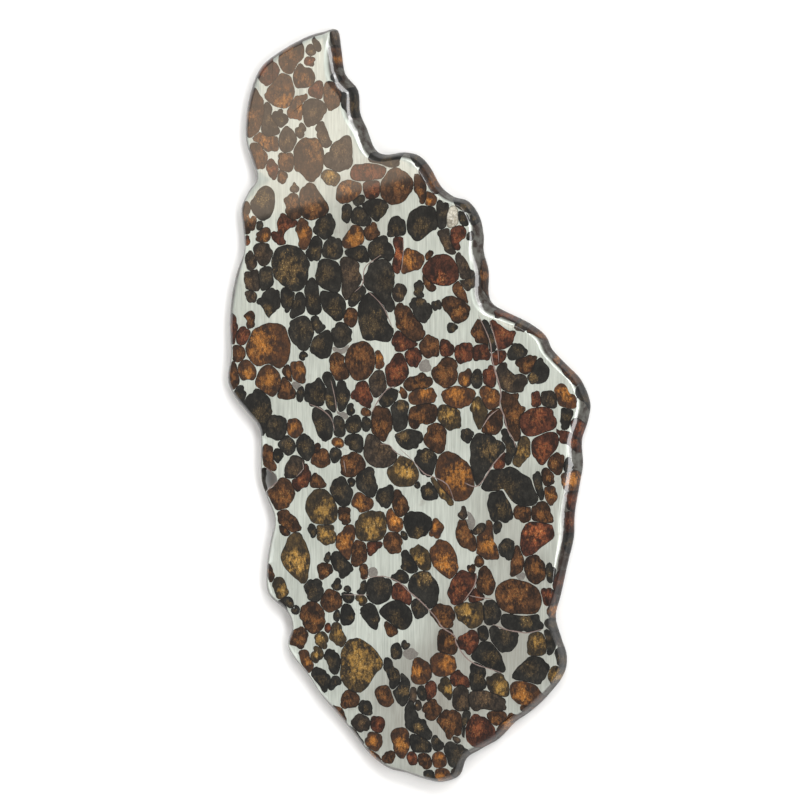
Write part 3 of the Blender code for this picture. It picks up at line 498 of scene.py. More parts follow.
SMALL_AMBER = (
    (331, 46, 337, 44, 340, 50, 341, 58, 341, 66, 337, 66, 333, 62, 330, 57, 329, 50),
    (288, 108, 290, 103, 292, 98, 297, 94, 303, 92, 306, 93, 307, 98, 303, 103, 302, 110, 301, 117,
     297, 119, 292, 118, 288, 114),
    (252, 136, 258, 130, 266, 134, 274, 134, 278, 138, 279, 144, 276, 148, 268, 149, 262, 147, 257, 143),
    (256, 234, 259, 229, 264, 227, 268, 230, 268, 236, 264, 240, 259, 241, 256, 238),
    (297, 221, 301, 217, 306, 221, 309, 227, 310, 235, 308, 243, 304, 248, 300, 246, 299, 240, 297, 234,
     296, 228),
    (425, 191, 429, 193, 434, 197, 437, 201, 435, 206, 430, 208, 426, 205, 424, 199),
    (343, 243, 345, 236, 350, 229, 356, 225, 362, 228, 364, 236, 362, 244, 356, 247, 349, 248, 344, 246),
    (405, 252, 410, 250, 417, 251, 423, 256, 424, 262, 420, 268, 413, 272, 406, 273, 402, 270, 403, 262),
    (461, 379, 463, 373, 468, 370, 472, 373, 474, 378, 471, 384, 466, 387, 462, 385),
    (482, 390, 486, 386, 491, 387, 496, 391, 499, 396, 499, 403, 496, 408, 490, 410, 485, 405, 482, 398),
    (554, 391, 558, 384, 564, 385, 568, 392, 572, 397, 575, 404, 571, 408, 564, 407, 558, 403, 555, 397),
    (550, 350, 556, 350, 561, 358, 562, 366, 556, 364, 551, 357),
    (561, 476, 565, 471, 572, 470, 578, 473, 580, 480, 578, 487, 572, 490, 565, 488, 561, 483),
    (545, 486, 549, 484, 554, 488, 557, 494, 555, 500, 550, 503, 547, 498, 545, 492),
    (548, 604, 554, 600, 559, 602, 557, 611, 553, 617, 549, 613),
    (505, 716, 510, 711, 516, 711, 521, 714, 523, 719, 518, 721, 511, 726, 505, 733, 500, 736, 497, 731,
     499, 723),
    (391, 735, 394, 729, 400, 727, 408, 731, 411, 739, 409, 748, 404, 756, 398, 752, 394, 744),
    (434, 758, 437, 752, 442, 751, 447, 755, 446, 761, 442, 765, 436, 764),
    (436, 773, 438, 768, 444, 767, 450, 770, 452, 775, 448, 780, 441, 781, 437, 778),
    (299, 657, 302, 653, 307, 654, 310, 660, 313, 666, 311, 672, 306, 672, 302, 667),
    (338, 545, 339, 537, 343, 530, 349, 526, 355, 528, 355, 538, 352, 547, 351, 556, 348, 561, 343, 556,
     340, 551),
    (237, 370, 239, 363, 244, 361, 250, 364, 253, 370, 254, 376, 250, 379, 243, 379, 238, 376),
    (290, 366, 293, 361, 298, 362, 304, 365, 306, 371, 305, 377, 302, 383, 297, 382, 292, 378, 290, 372),
    (287, 425, 290, 420, 295, 418, 300, 421, 302, 427, 300, 433, 296, 437, 290, 436, 287, 431),
    (334, 443, 336, 439, 341, 440, 342, 445, 338, 447),
    (375, 352, 380, 352, 384, 357, 384, 363, 380, 368, 375, 366, 373, 359),
    (352, 502, 356, 496, 361, 493, 367, 496, 372, 499, 372, 505, 369, 510, 362, 511, 356, 508),
    (388, 515, 392, 508, 398, 508, 401, 514, 403, 521, 402, 529, 397, 533, 391, 530, 388, 523),
    (431, 521, 436, 519, 442, 522, 445, 527, 442, 533, 436, 536, 431, 534, 429, 528),
    (476, 538, 480, 531, 484, 523, 489, 520, 493, 524, 492, 533, 495, 543, 499, 551, 497, 557, 490, 558,
     483, 556, 477, 552),
    (411, 396, 414, 390, 420, 386, 428, 386, 434, 390, 437, 396, 434, 402, 427, 403, 419, 405, 413, 402),
    (367, 739, 371, 734, 378, 734, 383, 739, 382, 746, 376, 750, 369, 746),
    (364, 748, 372, 751, 380, 759, 378, 766, 369, 760, 363, 754),
)
SMALL_GOLD = (
    (322, 177, 325, 172, 330, 170, 335, 171, 338, 175, 338, 180, 335, 184, 330, 185, 326, 183),
    (472, 408, 473, 401, 478, 397, 483, 400, 486, 406, 488, 411, 485, 418, 482, 425, 479, 428, 475, 422,
     473, 415),
    (514, 456, 517, 449, 518, 442, 520, 437, 525, 437, 529, 442, 529, 450, 527, 458, 522, 463, 517, 464,
     513, 461),
    (455, 606, 462, 603, 470, 601, 480, 600, 484, 606, 484, 615, 480, 623, 472, 625, 464, 622, 459, 616),
    (488, 676, 492, 673, 499, 672, 505, 675, 508, 682, 509, 690, 504, 693, 497, 692, 491, 688, 488, 682),
    (527, 640, 531, 632, 538, 630, 544, 634, 546, 641, 546, 648, 541, 651, 533, 653, 528, 649),
    (548, 668, 553, 664, 559, 664, 564, 669, 563, 676, 558, 683, 552, 684, 549, 678),
    (440, 686, 442, 679, 447, 676, 451, 680, 452, 688, 452, 694, 449, 697, 444, 693),
    (315, 641, 317, 635, 322, 633, 326, 638, 327, 644, 324, 649, 319, 646),
    (311, 658, 314, 652, 316, 648, 321, 650, 322, 655, 319, 661, 314, 663),
    (331, 632, 333, 625, 338, 623, 341, 629, 345, 635, 345, 642, 341, 647, 335, 644, 331, 638),
    (357, 597, 364, 597, 367, 601, 363, 605, 359, 602),
    (273, 590, 274, 583, 278, 578, 283, 580, 286, 587, 287, 594, 285, 599, 280, 600, 275, 596),
    (317, 527, 322, 525, 331, 525, 334, 531, 335, 538, 332, 543, 326, 546, 320, 542, 317, 535),
    (411, 552, 415, 547, 419, 544, 426, 548, 429, 555, 431, 563, 428, 569, 422, 568, 417, 563, 414, 558),
    (433, 478, 438, 479, 443, 484, 449, 489, 453, 496, 453, 503, 447, 501, 441, 495, 436, 488),
    (437, 410, 443, 406, 450, 405, 456, 408, 460, 413, 462, 420, 459, 427, 452, 429, 446, 427, 440, 421,
     436, 415),
)
SMALL_CREAM = (
    (447, 214, 450, 209, 455, 209, 459, 214, 459, 221, 456, 226, 450, 228, 446, 223),
)
SMALL_DULL = (
    (333, 347, 341, 350, 349, 345, 345, 353, 336, 353),
    (292, 384, 297, 380, 301, 385, 297, 390),
    (337, 411, 344, 412, 349, 418, 343, 419),
    (403, 652, 411, 648, 418, 652, 411, 657),
    (462, 514, 468, 510, 475, 520, 473, 529, 467, 524),
    (515, 572, 526, 571, 521, 579),
    (421, 363, 429, 362, 430, 369, 422, 369),
    (367, 570, 374, 569, 377, 575, 371, 577),
)
SMALL = {
    Tone.INK: SMALL_INK, Tone.SMOKE: SMALL_SMOKE, Tone.UMBER: SMALL_UMBER, Tone.RUST: SMALL_RUST,
    Tone.AMBER: SMALL_AMBER, Tone.GOLD: SMALL_GOLD, Tone.CREAM: SMALL_CREAM, Tone.DULL: SMALL_DULL,
}

# Veins: width in metres, then the columns and rows along each path
VEINS = (
    (0.00040, (479, 316, 487, 333, 491, 345, 493, 362, 501, 391, 500, 405, 504, 415, 508, 430, 513, 438,
              516, 447)),
    (0.00025, (490, 320, 494, 335, 498, 350, 499, 363)),
    (0.00030, (499, 409, 490, 416, 483, 427)),
    (0.00035, (506, 450, 494, 463, 484, 479, 476, 486, 465, 482)),
    (0.00030, (401, 449, 413, 460, 425, 473, 433, 476, 448, 484, 455, 501)),
    (0.00040, (366, 578, 384, 576, 400, 582, 411, 592, 421, 600, 428, 607, 437, 617, 443, 626, 455, 634,
              457, 642, 466, 655, 476, 662, 489, 666, 502, 670)),
    (0.00035, (493, 622, 506, 627, 517, 629, 528, 630, 542, 626)),
    (0.00030, (265, 492, 277, 482)),
    (0.00025, (265, 468, 272, 474)),
    (0.00025, (302, 462, 303, 469, 296, 477)),
    (0.00025, (331, 380, 335, 397, 337, 412)),
    (0.00030, (396, 386, 387, 390, 378, 402, 372, 413)),
    (0.00025, (381, 444, 390, 445, 395, 451, 404, 457)),
    (0.00030, (309, 404, 321, 409, 331, 418, 335, 431)),
    (0.00030, (382, 255, 373, 261, 366, 267, 364, 274, 363, 284, 355, 292)),
    (0.00030, (367, 290, 379, 301, 386, 311, 393, 328)),
    (0.00025, (404, 238, 404, 254, 402, 272)),
    (0.00025, (344, 595, 369, 595)),
    (0.00030, (344, 460, 346, 473)),
    (0.00030, (477, 571, 475, 584, 464, 600)),
    (0.00030, (470, 594, 481, 596, 493, 597)),
)

# Places where light comes back from inside a crystal: column, row, strength, share of its size
SPOTS = (
    (260, 342, 1.0, 0.9), (268, 382, 0.9, 0.9), (282, 98, 0.6, 0.9), (289, 51, 0.45, 0.8),
    (260, 196, 0.75, 0.9), (288, 268, 0.65, 1.0), (315, 146, 0.5, 0.9), (362, 662, 0.95, 1.15),
    (296, 562, 0.95, 0.85), (325, 510, 0.9, 0.9), (374, 527, 0.95, 0.9), (457, 475, 1.0, 0.85),
    (446, 562, 0.95, 0.9), (441, 280, 0.7, 0.7), (523, 690, 0.95, 0.9), (535, 532, 0.7, 0.9),
    (490, 450, 0.6, 0.8), (424, 577, 0.8, 0.7), (407, 471, 0.9, 0.8), (533, 378, 0.8, 0.6),
    (418, 727, 0.7, 0.6), (426, 455, 0.6, 0.7), (429, 491, 0.7, 0.7), (405, 437, 0.7, 0.7),
    (403, 406, 0.6, 0.6), (527, 618, 0.7, 0.6), (405, 690, 0.65, 0.7), (326, 536, 0.95, 0.9),
    (475, 405, 0.95, 0.7), (490, 428, 0.6, 0.6), (332, 250, 0.4, 0.8), (268, 308, 0.6, 0.6),
    (330, 400, 0.6, 0.6), (419, 532, 0.7, 0.6), (449, 415, 1.0, 0.9), (270, 487, 0.3, 0.6),
    (420, 302, 0.5, 0.5), (351, 617, 0.5, 0.6), (376, 621, 0.35, 0.6), (336, 366, 0.5, 0.9),
    (570, 479, 1.0, 1.0), (556, 358, 0.7, 0.9), (564, 395, 1.0, 0.9), (553, 608, 0.7, 0.9),
    (506, 316, 0.6, 0.9), (550, 493, 0.8, 0.9), (556, 673, 0.9, 0.9), (336, 57, 0.6, 0.8),
)


@dataclass(frozen=True)
class Plan:
    """The plan grid that every outline is read on, and how it lies on the slice."""

    column: float = 0.00026
    row: float = 0.00025
    middle_column: float = 407.5
    middle_row: float = 404.0
    face_shift: float = 0.001

    def edge_point(self, column: float, row: float) -> Vector:
        """Return a point of the slice's edge."""
        return Vector(((column - self.middle_column) * self.column, (self.middle_row - row) * self.row))

    def face_point(self, column: float, row: float) -> Vector:
        """Return a point of the polished face."""
        return self.edge_point(column, row) + Vector((self.face_shift, 0.0))


class Loop:
    """A closed curve in plan that runs anticlockwise."""

    def __init__(self, points: Sequence[Vector]) -> None:
        """Keep the points, turned anticlockwise."""
        self.points: list[Vector] = list(points)
        if self.area() < 0:
            self.points.reverse()
        self.refresh()

    def refresh(self) -> None:
        """Work out the middle and the reach again after the points have moved."""
        self.centre: Vector = sum(self.points, Vector((0.0, 0.0))) / len(self.points)
        self.reach: float = max((point - self.centre).length for point in self.points)

    def area(self) -> float:
        """Return the signed area, positive when the loop runs anticlockwise."""
        return sum(a.cross(b) for a, b in zip(self.points, self.points[1:] + self.points[:1])) / 2

    def radius(self) -> float:
        """Return the radius of a circle of the same area."""
        return math.sqrt(abs(self.area()) / math.pi)

    def smoothed(self, steps: int) -> "Loop":
        """Return a rounded curve through the points, each span cut in so many steps."""
        return Loop(rounded(self.points, steps))

    def moved_in(self, widths: Sequence[float], span: int = 1) -> list[Vector]:
        """Return the points moved in along the curve's normals.

        Args:
            widths: how far each point moves.
            span: how many points to each side a normal is taken over.

        Returns:
            The moved points.
        """
        moved = []
        count = len(self.points)
        for index, point in enumerate(self.points):
            along = self.points[(index + span) % count] - self.points[index - span]
            moved.append(point + Vector((-along.y, along.x)).normalized() * widths[index])
        return moved

    def distance(self, point: Vector) -> float:
        """Return how far a point lies outside the loop.

        Args:
            point: the point in plan.

        Returns:
            The distance, negative when the point is inside.
        """
        nearest = math.inf
        inside = False
        px, py = point
        ax, ay = self.points[-1]
        for b in self.points:
            bx, by = b
            dx, dy = bx - ax, by - ay
            share = ((px - ax) * dx + (py - ay) * dy) / (dx * dx + dy * dy)
            share = 0.0 if share < 0.0 else 1.0 if share > 1.0 else share
            ex, ey = ax + dx * share - px, ay + dy * share - py
            nearest = min(nearest, ex * ex + ey * ey)
            if (ay > py) != (by > py) and px < ax + dx * (py - ay) / dy:
                inside = not inside
            ax, ay = bx, by
        return -math.sqrt(nearest) if inside else math.sqrt(nearest)

    def keep_off(self, other: "Loop", web: float, nudge: float = 0.00003, most: int = 60) -> None:
        """Draw this loop's points back to its middle until a web is left beside another loop.

        Args:
            other: the loop that stays as it is.
            web: the least width of metal between the two.
            nudge: the length of one step back.
            most: the most steps that one point of the other loop calls for.
        """
        if (self.centre - other.centre).length > self.reach + other.reach + web:
            return
        for index, point in enumerate(self.points):
            if (point - other.centre).length > other.reach + web:
                continue
            step = (self.centre - point).normalized() * nudge
            room = int((self.centre - point).length / nudge) - 1
            while room > 0 and other.distance(point) < web:
                point = point + step
                room -= 1
            self.points[index] = point
        for point in other.points:
            tries = 0
            while tries < most and self.distance(point) < web / 2:
                index = min(range(len(self.points)), key=lambda k: (self.points[k] - point).length_squared)
                self.points[index] += (self.centre - self.points[index]).normalized() * nudge
                tries += 1
        self.refresh()

    def crosses_itself(self) -> bool:
        """Return whether any two sides of the loop cross."""
        sides = list(zip(self.points, self.points[1:] + self.points[:1]))
        for index, (a, b) in enumerate(sides):
            for c, d in sides[index + 2:]:
                if c is a or d is a:
                    continue
                first = (b - a).cross(c - a) * (b - a).cross(d - a)
                if first < 0 and (d - c).cross(a - c) * (d - c).cross(b - c) < 0:
                    return True
        return False

    def meets(self, other: "Loop") -> bool:
        """Return whether two loops overlap."""
        if (self.centre - other.centre).length > self.reach + other.reach:
            return False
        return (any(self.distance(point) < 0 for point in other.points)
                or any(other.distance(point) < 0 for point in self.points))


def span(four: Sequence[Vector], steps: int) -> list[Vector]:
    """Return the rounded curve from the second of four points up to the third.

    Args:
        four: the points before, at and after the span.
        steps: how many points the span is given.

    Returns:
        The points of the curve.
    """
    before, start, end, after = four
    curve = []
    for step in range(steps):
        t = step / steps
        curve.append(0.5 * (2 * start + (end - before) * t
                            + (2 * before - 5 * start + 4 * end - after) * t ** 2
                            + (3 * start - before - 3 * end + after) * t ** 3))
    return curve


def rounded(points: Sequence[Vector], steps: int) -> list[Vector]:
    """Return a closed rounded curve through points, each span cut in so many steps."""
    count = len(points)
    return [place for index in range(count)
            for place in span([points[(index + k - 1) % count] for k in range(4)], steps)]


def pairs(flat: Flat) -> list[tuple[float, float]]:
    """Return a flat row of numbers as column and row pairs."""
    return list(zip(flat[::2], flat[1::2]))


class Bench:
    """The hand tools that every piece is made with."""

    @staticmethod
    def clear() -> None:
        """Leave nothing selected and no piece open."""
        if bpy.context.object and bpy.context.object.mode != "OBJECT":
            bpy.ops.object.mode_set(mode="OBJECT")
        bpy.ops.object.select_all(action="DESELECT")

    @staticmethod
    def take(thing: bpy.types.Object) -> None:
        """Select one piece alone and make it the active one."""
        Bench.clear()
        thing.select_set(True)
        bpy.context.view_layer.objects.active = thing

    @staticmethod
    def plates(name: str, loops: Sequence[Sequence[Vector]], height: float) -> bpy.types.Object:
        """Lay one flat plate for each loop, all in one mesh.

        Args:
            name: the new object's name.
            loops: the points round each plate.
            height: the level that the plates lie at.

        Returns:
            The object.
        """
        Bench.clear()
        bpy.ops.mesh.primitive_circle_add(vertices=len(loops[0]), radius=BLANK_RADIUS, fill_type="NGON")
        thing = bpy.context.object
        thing.name = name
        thing.data.name = name
        bpy.ops.object.mode_set(mode="EDIT")
        for loop in loops[1:]:
            bpy.ops.mesh.primitive_circle_add(vertices=len(loop), radius=BLANK_RADIUS, fill_type="NGON")
        bpy.ops.object.mode_set(mode="OBJECT")
        places = [value for loop in loops for point in loop for value in (point.x, point.y, height)]
        thing.data.vertices.foreach_set("co", places)
        thing.data.update()
        return thing

    @staticmethod
    def prisms(name: str, loops: Sequence[Sequence[Vector]], low: float, high: float) -> bpy.types.Object:
        """Make one straight prism on each loop, all in one mesh.

        Args:
            name: the new object's name.
            loops: the points round each prism.
            low: the level of the prisms' feet.
            high: the level of their tops.

        Returns:
            The object.
        """
        thing = Bench.plates(name, loops, low)
        Bench.take(thing)
        bpy.ops.object.mode_set(mode="EDIT")
        bpy.ops.mesh.select_all(action="SELECT")
        bpy.ops.mesh.extrude_region_move(TRANSFORM_OT_translate={"value": (0.0, 0.0, high - low)})
        bpy.ops.mesh.select_all(action="SELECT")
        bpy.ops.mesh.normals_make_consistent(inside=False)
        bpy.ops.object.mode_set(mode="OBJECT")
        return thing

    @staticmethod
    def boolean(thing: bpy.types.Object, other: bpy.types.Object, operation: str) -> None:
        """Cut one piece with another and apply the cut.

        Args:
            thing: the piece that is cut.
            other: the piece that cuts it.
            operation: DIFFERENCE or INTERSECT.
        """
        Bench.take(thing)
        cut = thing.modifiers.new("Cut", "BOOLEAN")
        cut.operation = operation
        cut.solver = "EXACT"
        cut.object = other
        bpy.ops.object.modifier_apply(modifier=cut.name)

    @staticmethod
    def join(things: Sequence[bpy.types.Object]) -> bpy.types.Object:
        """Join pieces into the first of them."""
        Bench.take(things[0])
        for thing in things[1:]:
            thing.select_set(True)
        if len(things) > 1:
            bpy.ops.object.join()
        return things[0]

    @staticmethod
    def twin(thing: bpy.types.Object, name: str) -> bpy.types.Object:
        """Return a copy of a piece with its own mesh."""
        copy = bpy.data.objects.new(name, thing.data.copy())
        copy.data.name = name
        bpy.context.scene.collection.objects.link(copy)
        return copy

    @staticmethod
    def close(thing: bpy.types.Object) -> None:
        """Fill the slits that a cut has left open along an edge."""
        Bench.take(thing)
        bpy.ops.object.mode_set(mode="EDIT")
        bpy.ops.mesh.select_mode(type="VERT")
        bpy.ops.mesh.select_all(action="DESELECT")
        bpy.ops.mesh.select_non_manifold()
        bpy.ops.mesh.fill_holes(sides=0)
        bpy.ops.object.mode_set(mode="OBJECT")

    @staticmethod
    def smooth(thing: bpy.types.Object, degrees: float = 35.0) -> None:
        """Shade a piece smooth up to an angle."""
        Bench.take(thing)
        bpy.ops.object.shade_smooth_by_angle(angle=math.radians(degrees))

    @staticmethod
    def cover(thing: bpy.types.Object, material: bpy.types.Material) -> None:
        """Give a piece one material and no other."""
        thing.data.materials.clear()
        thing.data.materials.append(material)

    @staticmethod
    def number(thing: bpy.types.Object, name: str, values: Sequence[float]) -> None:
        """Write one number at each corner of a piece's mesh."""
        thing.data.attributes.new(name, "FLOAT", "POINT").data.foreach_set("value", values)


@dataclass(frozen=True)
class Value:
    """One output of a material's node, with Python's arithmetic turned into Math nodes."""

    net: "Net"
    socket: bpy.types.NodeSocket

    def _with(self, operation: str, first: "Value | float", second: "Value | float") -> "Value":
        """Return a Math node's result."""
        return self.net.add("ShaderNodeMath", {"operation": operation}, {0: first, 1: second})

    def __add__(self, other: "Value | float") -> "Value":
        """Return self + other."""
        return self._with("ADD", self, other)

    def __radd__(self, other: float) -> "Value":
        """Return other + self."""
        return self._with("ADD", other, self)

    def __sub__(self, other: "Value | float") -> "Value":
        """Return self - other."""
        return self._with("SUBTRACT", self, other)

    def __rsub__(self, other: float) -> "Value":
        """Return other - self."""
        return self._with("SUBTRACT", other, self)

    def __mul__(self, other: "Value | float") -> "Value":
        """Return self * other."""
        return self._with("MULTIPLY", self, other)

    def __rmul__(self, other: float) -> "Value":
        """Return other * self."""
        return self._with("MULTIPLY", other, self)

    def between(self, low: float, high: float) -> "Value":
        """Return a smooth step from 0 at low to 1 at high; low may be the larger."""
        settings = {"interpolation_type": "SMOOTHSTEP"}
        if low < high:
            return self.net.add("ShaderNodeMapRange", settings, {0: self, 1: low, 2: high})
        return self.net.add("ShaderNodeMapRange", settings, {0: self, 1: high, 2: low, 3: 1.0, 4: 0.0})


class Net:
    """The nodes of one material."""

    def __init__(self, name: str) -> None:
        """Start a material that holds a Principled shader alone."""
        self.material = bpy.data.materials.new(name)
        self.material.use_nodes = True
        self.tree = self.material.node_tree
        self.shader = self.tree.nodes["Principled BSDF"]
        self.place = self.add("ShaderNodeTexCoord", {}, {}, "Object")

    def fill(self, node: bpy.types.Node, values: dict) -> None:
        """Set a node's sockets.

        Args:
            node: the node.
            values: a value or a link for each socket, by its name or its number.
        """
        for key, value in values.items():
            if isinstance(value, Value):
                self.tree.links.new(value.socket, node.inputs[key])
            elif isinstance(value, tuple) and node.inputs[key].type == "RGBA":
                node.inputs[key].default_value = (*value, 1.0)
            else:
                node.inputs[key].default_value = value

    def add(self, kind: str, settings: dict, values: dict, output: "str | int" = 0) -> Value:
        """Add any node.

        Args:
            kind: the node's type.
            settings: its settings.
            values: a value or a link for each socket.
            output: the output that is wanted.

        Returns:
            That output.
        """
        node = self.tree.nodes.new(kind)
        for key, value in settings.items():
            setattr(node, key, value)
        self.fill(node, values)
        return Value(self, node.outputs[output])

    def mix(self, factor: "Value | float", first: "Value | Colour", second: "Value | Colour",
            blend: str = "MIX") -> Value:
        """Return two colours mixed.

        Args:
            factor: the share of the second colour.
            first: the first colour.
            second: the second colour.
            blend: how the two are mixed.

        Returns:
            The mixed colour.
        """
        settings = {"data_type": "RGBA", "blend_type": blend}
        return self.add("ShaderNodeMix", settings, {0: factor, 6: first, 7: second}, 2)

    def stretched(self, scale: tuple[float, float, float]) -> Value:
        """Return the place on the object, stretched along its axes."""
        return self.add("ShaderNodeMapping", {}, {"Vector": self.place, "Scale": scale})

    def noise(self, scale: float, detail: float = 3.0, rough: float = 0.55, at: "Value | None" = None,
              shift: "Value | float" = 0.0) -> Value:
        """Return a cloudy pattern between 0 and 1.

        Args:
            scale: how many features a metre holds.
            detail: how many finer layers it has.
            rough: how strong the finer layers are.
            at: the place it is read at, if it is a stretched one.
            shift: a number that moves the pattern on.

        Returns:
            The pattern.
        """
        return self.add("ShaderNodeTexNoise", {"noise_dimensions": "4D"}, {
            "Vector": at or self.place, "W": shift, "Scale": scale, "Detail": detail, "Roughness": rough})

    def cracks(self, scale: float) -> Value:
        """Return the distance to the nearest line of a net of cracks."""
        values = {"Vector": self.place, "Scale": scale}
        return self.add("ShaderNodeTexVoronoi", {"feature": "DISTANCE_TO_EDGE"}, values, "Distance")

    def attribute(self, name: str) -> Value:
        """Return a number that the mesh carries."""
        return self.add("ShaderNodeAttribute", {"attribute_name": name}, {}, "Fac")

    def height(self) -> Value:
        """Return the height above the back."""
        return self.add("ShaderNodeSeparateXYZ", {}, {0: self.place}, 2)

    def away(self, x: float, y: float) -> Value:
        """Return the distance from one place on the back."""
        return self.add("ShaderNodeVectorMath", {"operation": "DISTANCE"}, {0: self.place, 1: (x, y, 0.0)}, 1)

    def bump(self, relief: Value, depth: float) -> Value:
        """Return a normal for a fine relief."""
        return self.add("ShaderNodeBump", {}, {"Height": relief, "Distance": depth, "Strength": 1.0})

    def finish(self, values: dict) -> bpy.types.Material:
        """Set the Principled shader's sockets and return the material."""
        self.fill(self.shader, values)
        return self.material


@dataclass(frozen=True)
class Skin:
    """How the surface changes from the polished face to the natural rim."""

    top: tuple[float, float] = (THICKNESS * 0.992, THICKNESS * 0.86)
    foot: tuple[float, float] = (0.00002, 0.0003)
    thinning: tuple[float, float] = (THICKNESS * 0.84, THICKNESS * 0.45)
    thinned: float = 0.85
    coat_roughness: float = 0.035
    coat_ior: float = 1.5

    def on_rim(self, net: Net) -> Value:
        """Return 0 on the flat faces and 1 on the rim."""
        return net.height().between(*self.top) * net.height().between(*self.foot)

    def coat(self, net: Net) -> dict:
        """Return the sockets of the clear coat, which thins out down the rim."""
        return {"Coat Weight": 1.0 - net.height().between(*self.thinning) * self.thinned,
                "Coat Roughness": self.coat_roughness, "Coat IOR": self.coat_ior}


@dataclass(frozen=True)
class MetalFinish:
    """Nickel-iron, ground flat under a clear coat, darker and rougher on the rim."""

    name: str = "nickel_iron"
    pale: Colour = (0.64, 0.685, 0.62)
    deep: Colour = (0.31, 0.335, 0.30)
    # near-black painted shade for the metal in hair-thin seams between grains
    gap: Colour = (0.010, 0.007, 0.005)
    rust: Colour = (0.20, 0.15, 0.115)
    rim: Colour = (0.022, 0.013, 0.009)
    # painted shade: brownish darkening of the metal in round places; each place is x, y, reach and strength
    painted_shade: Colour = (0.17, 0.125, 0.10)
    painted_shades: tuple[tuple[float, float, float, float], ...] = (
        (0.024, -0.058, 0.030, 0.50), (0.006, -0.079, 0.026, 0.55), (0.030, -0.030, 0.024, 0.35),
        (-0.012, 0.048, 0.016, 0.35),
    )
    metallic: float = 0.40
    roughness: float = 0.36
    specular: float = 0.18
    rim_cover: float = 0.84
    relief: float = 0.00001
    skin: Skin = Skin()

    def material(self) -> bpy.types.Material:
        """Build the material: fine and broad grinding streaks, clouds, stains, painted shade in round places,
        rim and seams with painted shade.
        """
        net = Net(self.name)
        hair = net.noise(5200.0, 2.0, 0.6, net.stretched((1.0, 0.03, 1.0)))
        band = net.noise(900.0, 3.0, 0.55, net.stretched((1.0, 0.12, 1.0)))
        cloud = net.noise(70.0, 2.0, 0.5)
        shade = (hair * 0.55 + band * 0.35 + cloud * 0.35).between(0.30, 0.92)
        colour = net.mix(shade, self.deep, self.pale)
        stain = net.noise(260.0, 4.0, 0.6).between(0.60, 0.78)
        colour = net.mix(stain * 0.45, colour, self.rust)
        # painted shade in each round place, fading out to its reach
        for x, y, reach, strength in self.painted_shades:
            share = (net.away(x, y) + (cloud - 0.5) * 0.02).between(reach, 0.0) * strength
            colour = net.mix(share, colour, self.painted_shade)
        rim = self.skin.on_rim(net)
        patch = net.noise(420.0, 4.0, 0.6).between(0.40, 0.62)
        colour = net.mix(rim * (self.rim_cover + patch * (1.0 - self.rim_cover)), colour, self.rim)
        # painted shade: the seams between grains darkened nearly to black
        seam = net.attribute("seam").between(0.985, 0.999)
        colour = net.mix(seam, colour, self.gap)
        pits = rim * net.noise(1500.0, 5.0, 0.6)
        return net.finish({
            "Base Color": colour, "Metallic": self.metallic * (1.0 - rim * 0.7) * (1.0 - seam),
            "Roughness": self.roughness + hair * 0.10 + rim * 0.05, "Specular IOR Level": self.specular,
            "Normal": net.bump(hair * 0.5 + pits * 12.0, self.relief), **self.skin.coat(net),
        })


@dataclass(frozen=True)
class DullFinish:
    """Fine-grained dull metal: the small patches and the thin veins."""

    name: str
    pale: Colour
    deep: Colour
    rim: Colour = (0.05, 0.042, 0.036)
    metallic: float = 0.3
    roughness: float = 0.42
    relief: float = 0.000006
    skin: Skin = Skin()

    def material(self) -> bpy.types.Material:
        """Build the material."""
        net = Net(self.name)
        grain = net.noise(2600.0, 4.0, 0.65)
        cloud = net.noise(300.0, 2.0, 0.5)
        colour = net.mix((grain * 0.6 + cloud * 0.4).between(0.3, 0.7), self.deep, self.pale)
        colour = net.mix(self.skin.on_rim(net) * 0.8, colour, self.rim)
        return net.finish({
            "Base Color": colour, "Metallic": self.metallic, "Roughness": self.roughness + grain * 0.12,
            "Normal": net.bump(grain, self.relief), "Coat Weight": 1.0,
            "Coat Roughness": self.skin.coat_roughness,
        })


VEIN_METAL = DullFinish("vein_metal", (0.30, 0.225, 0.20), (0.15, 0.105, 0.092))
PATCH_METAL = DullFinish("dull_metal", (0.24, 0.225, 0.20), (0.12, 0.11, 0.098))


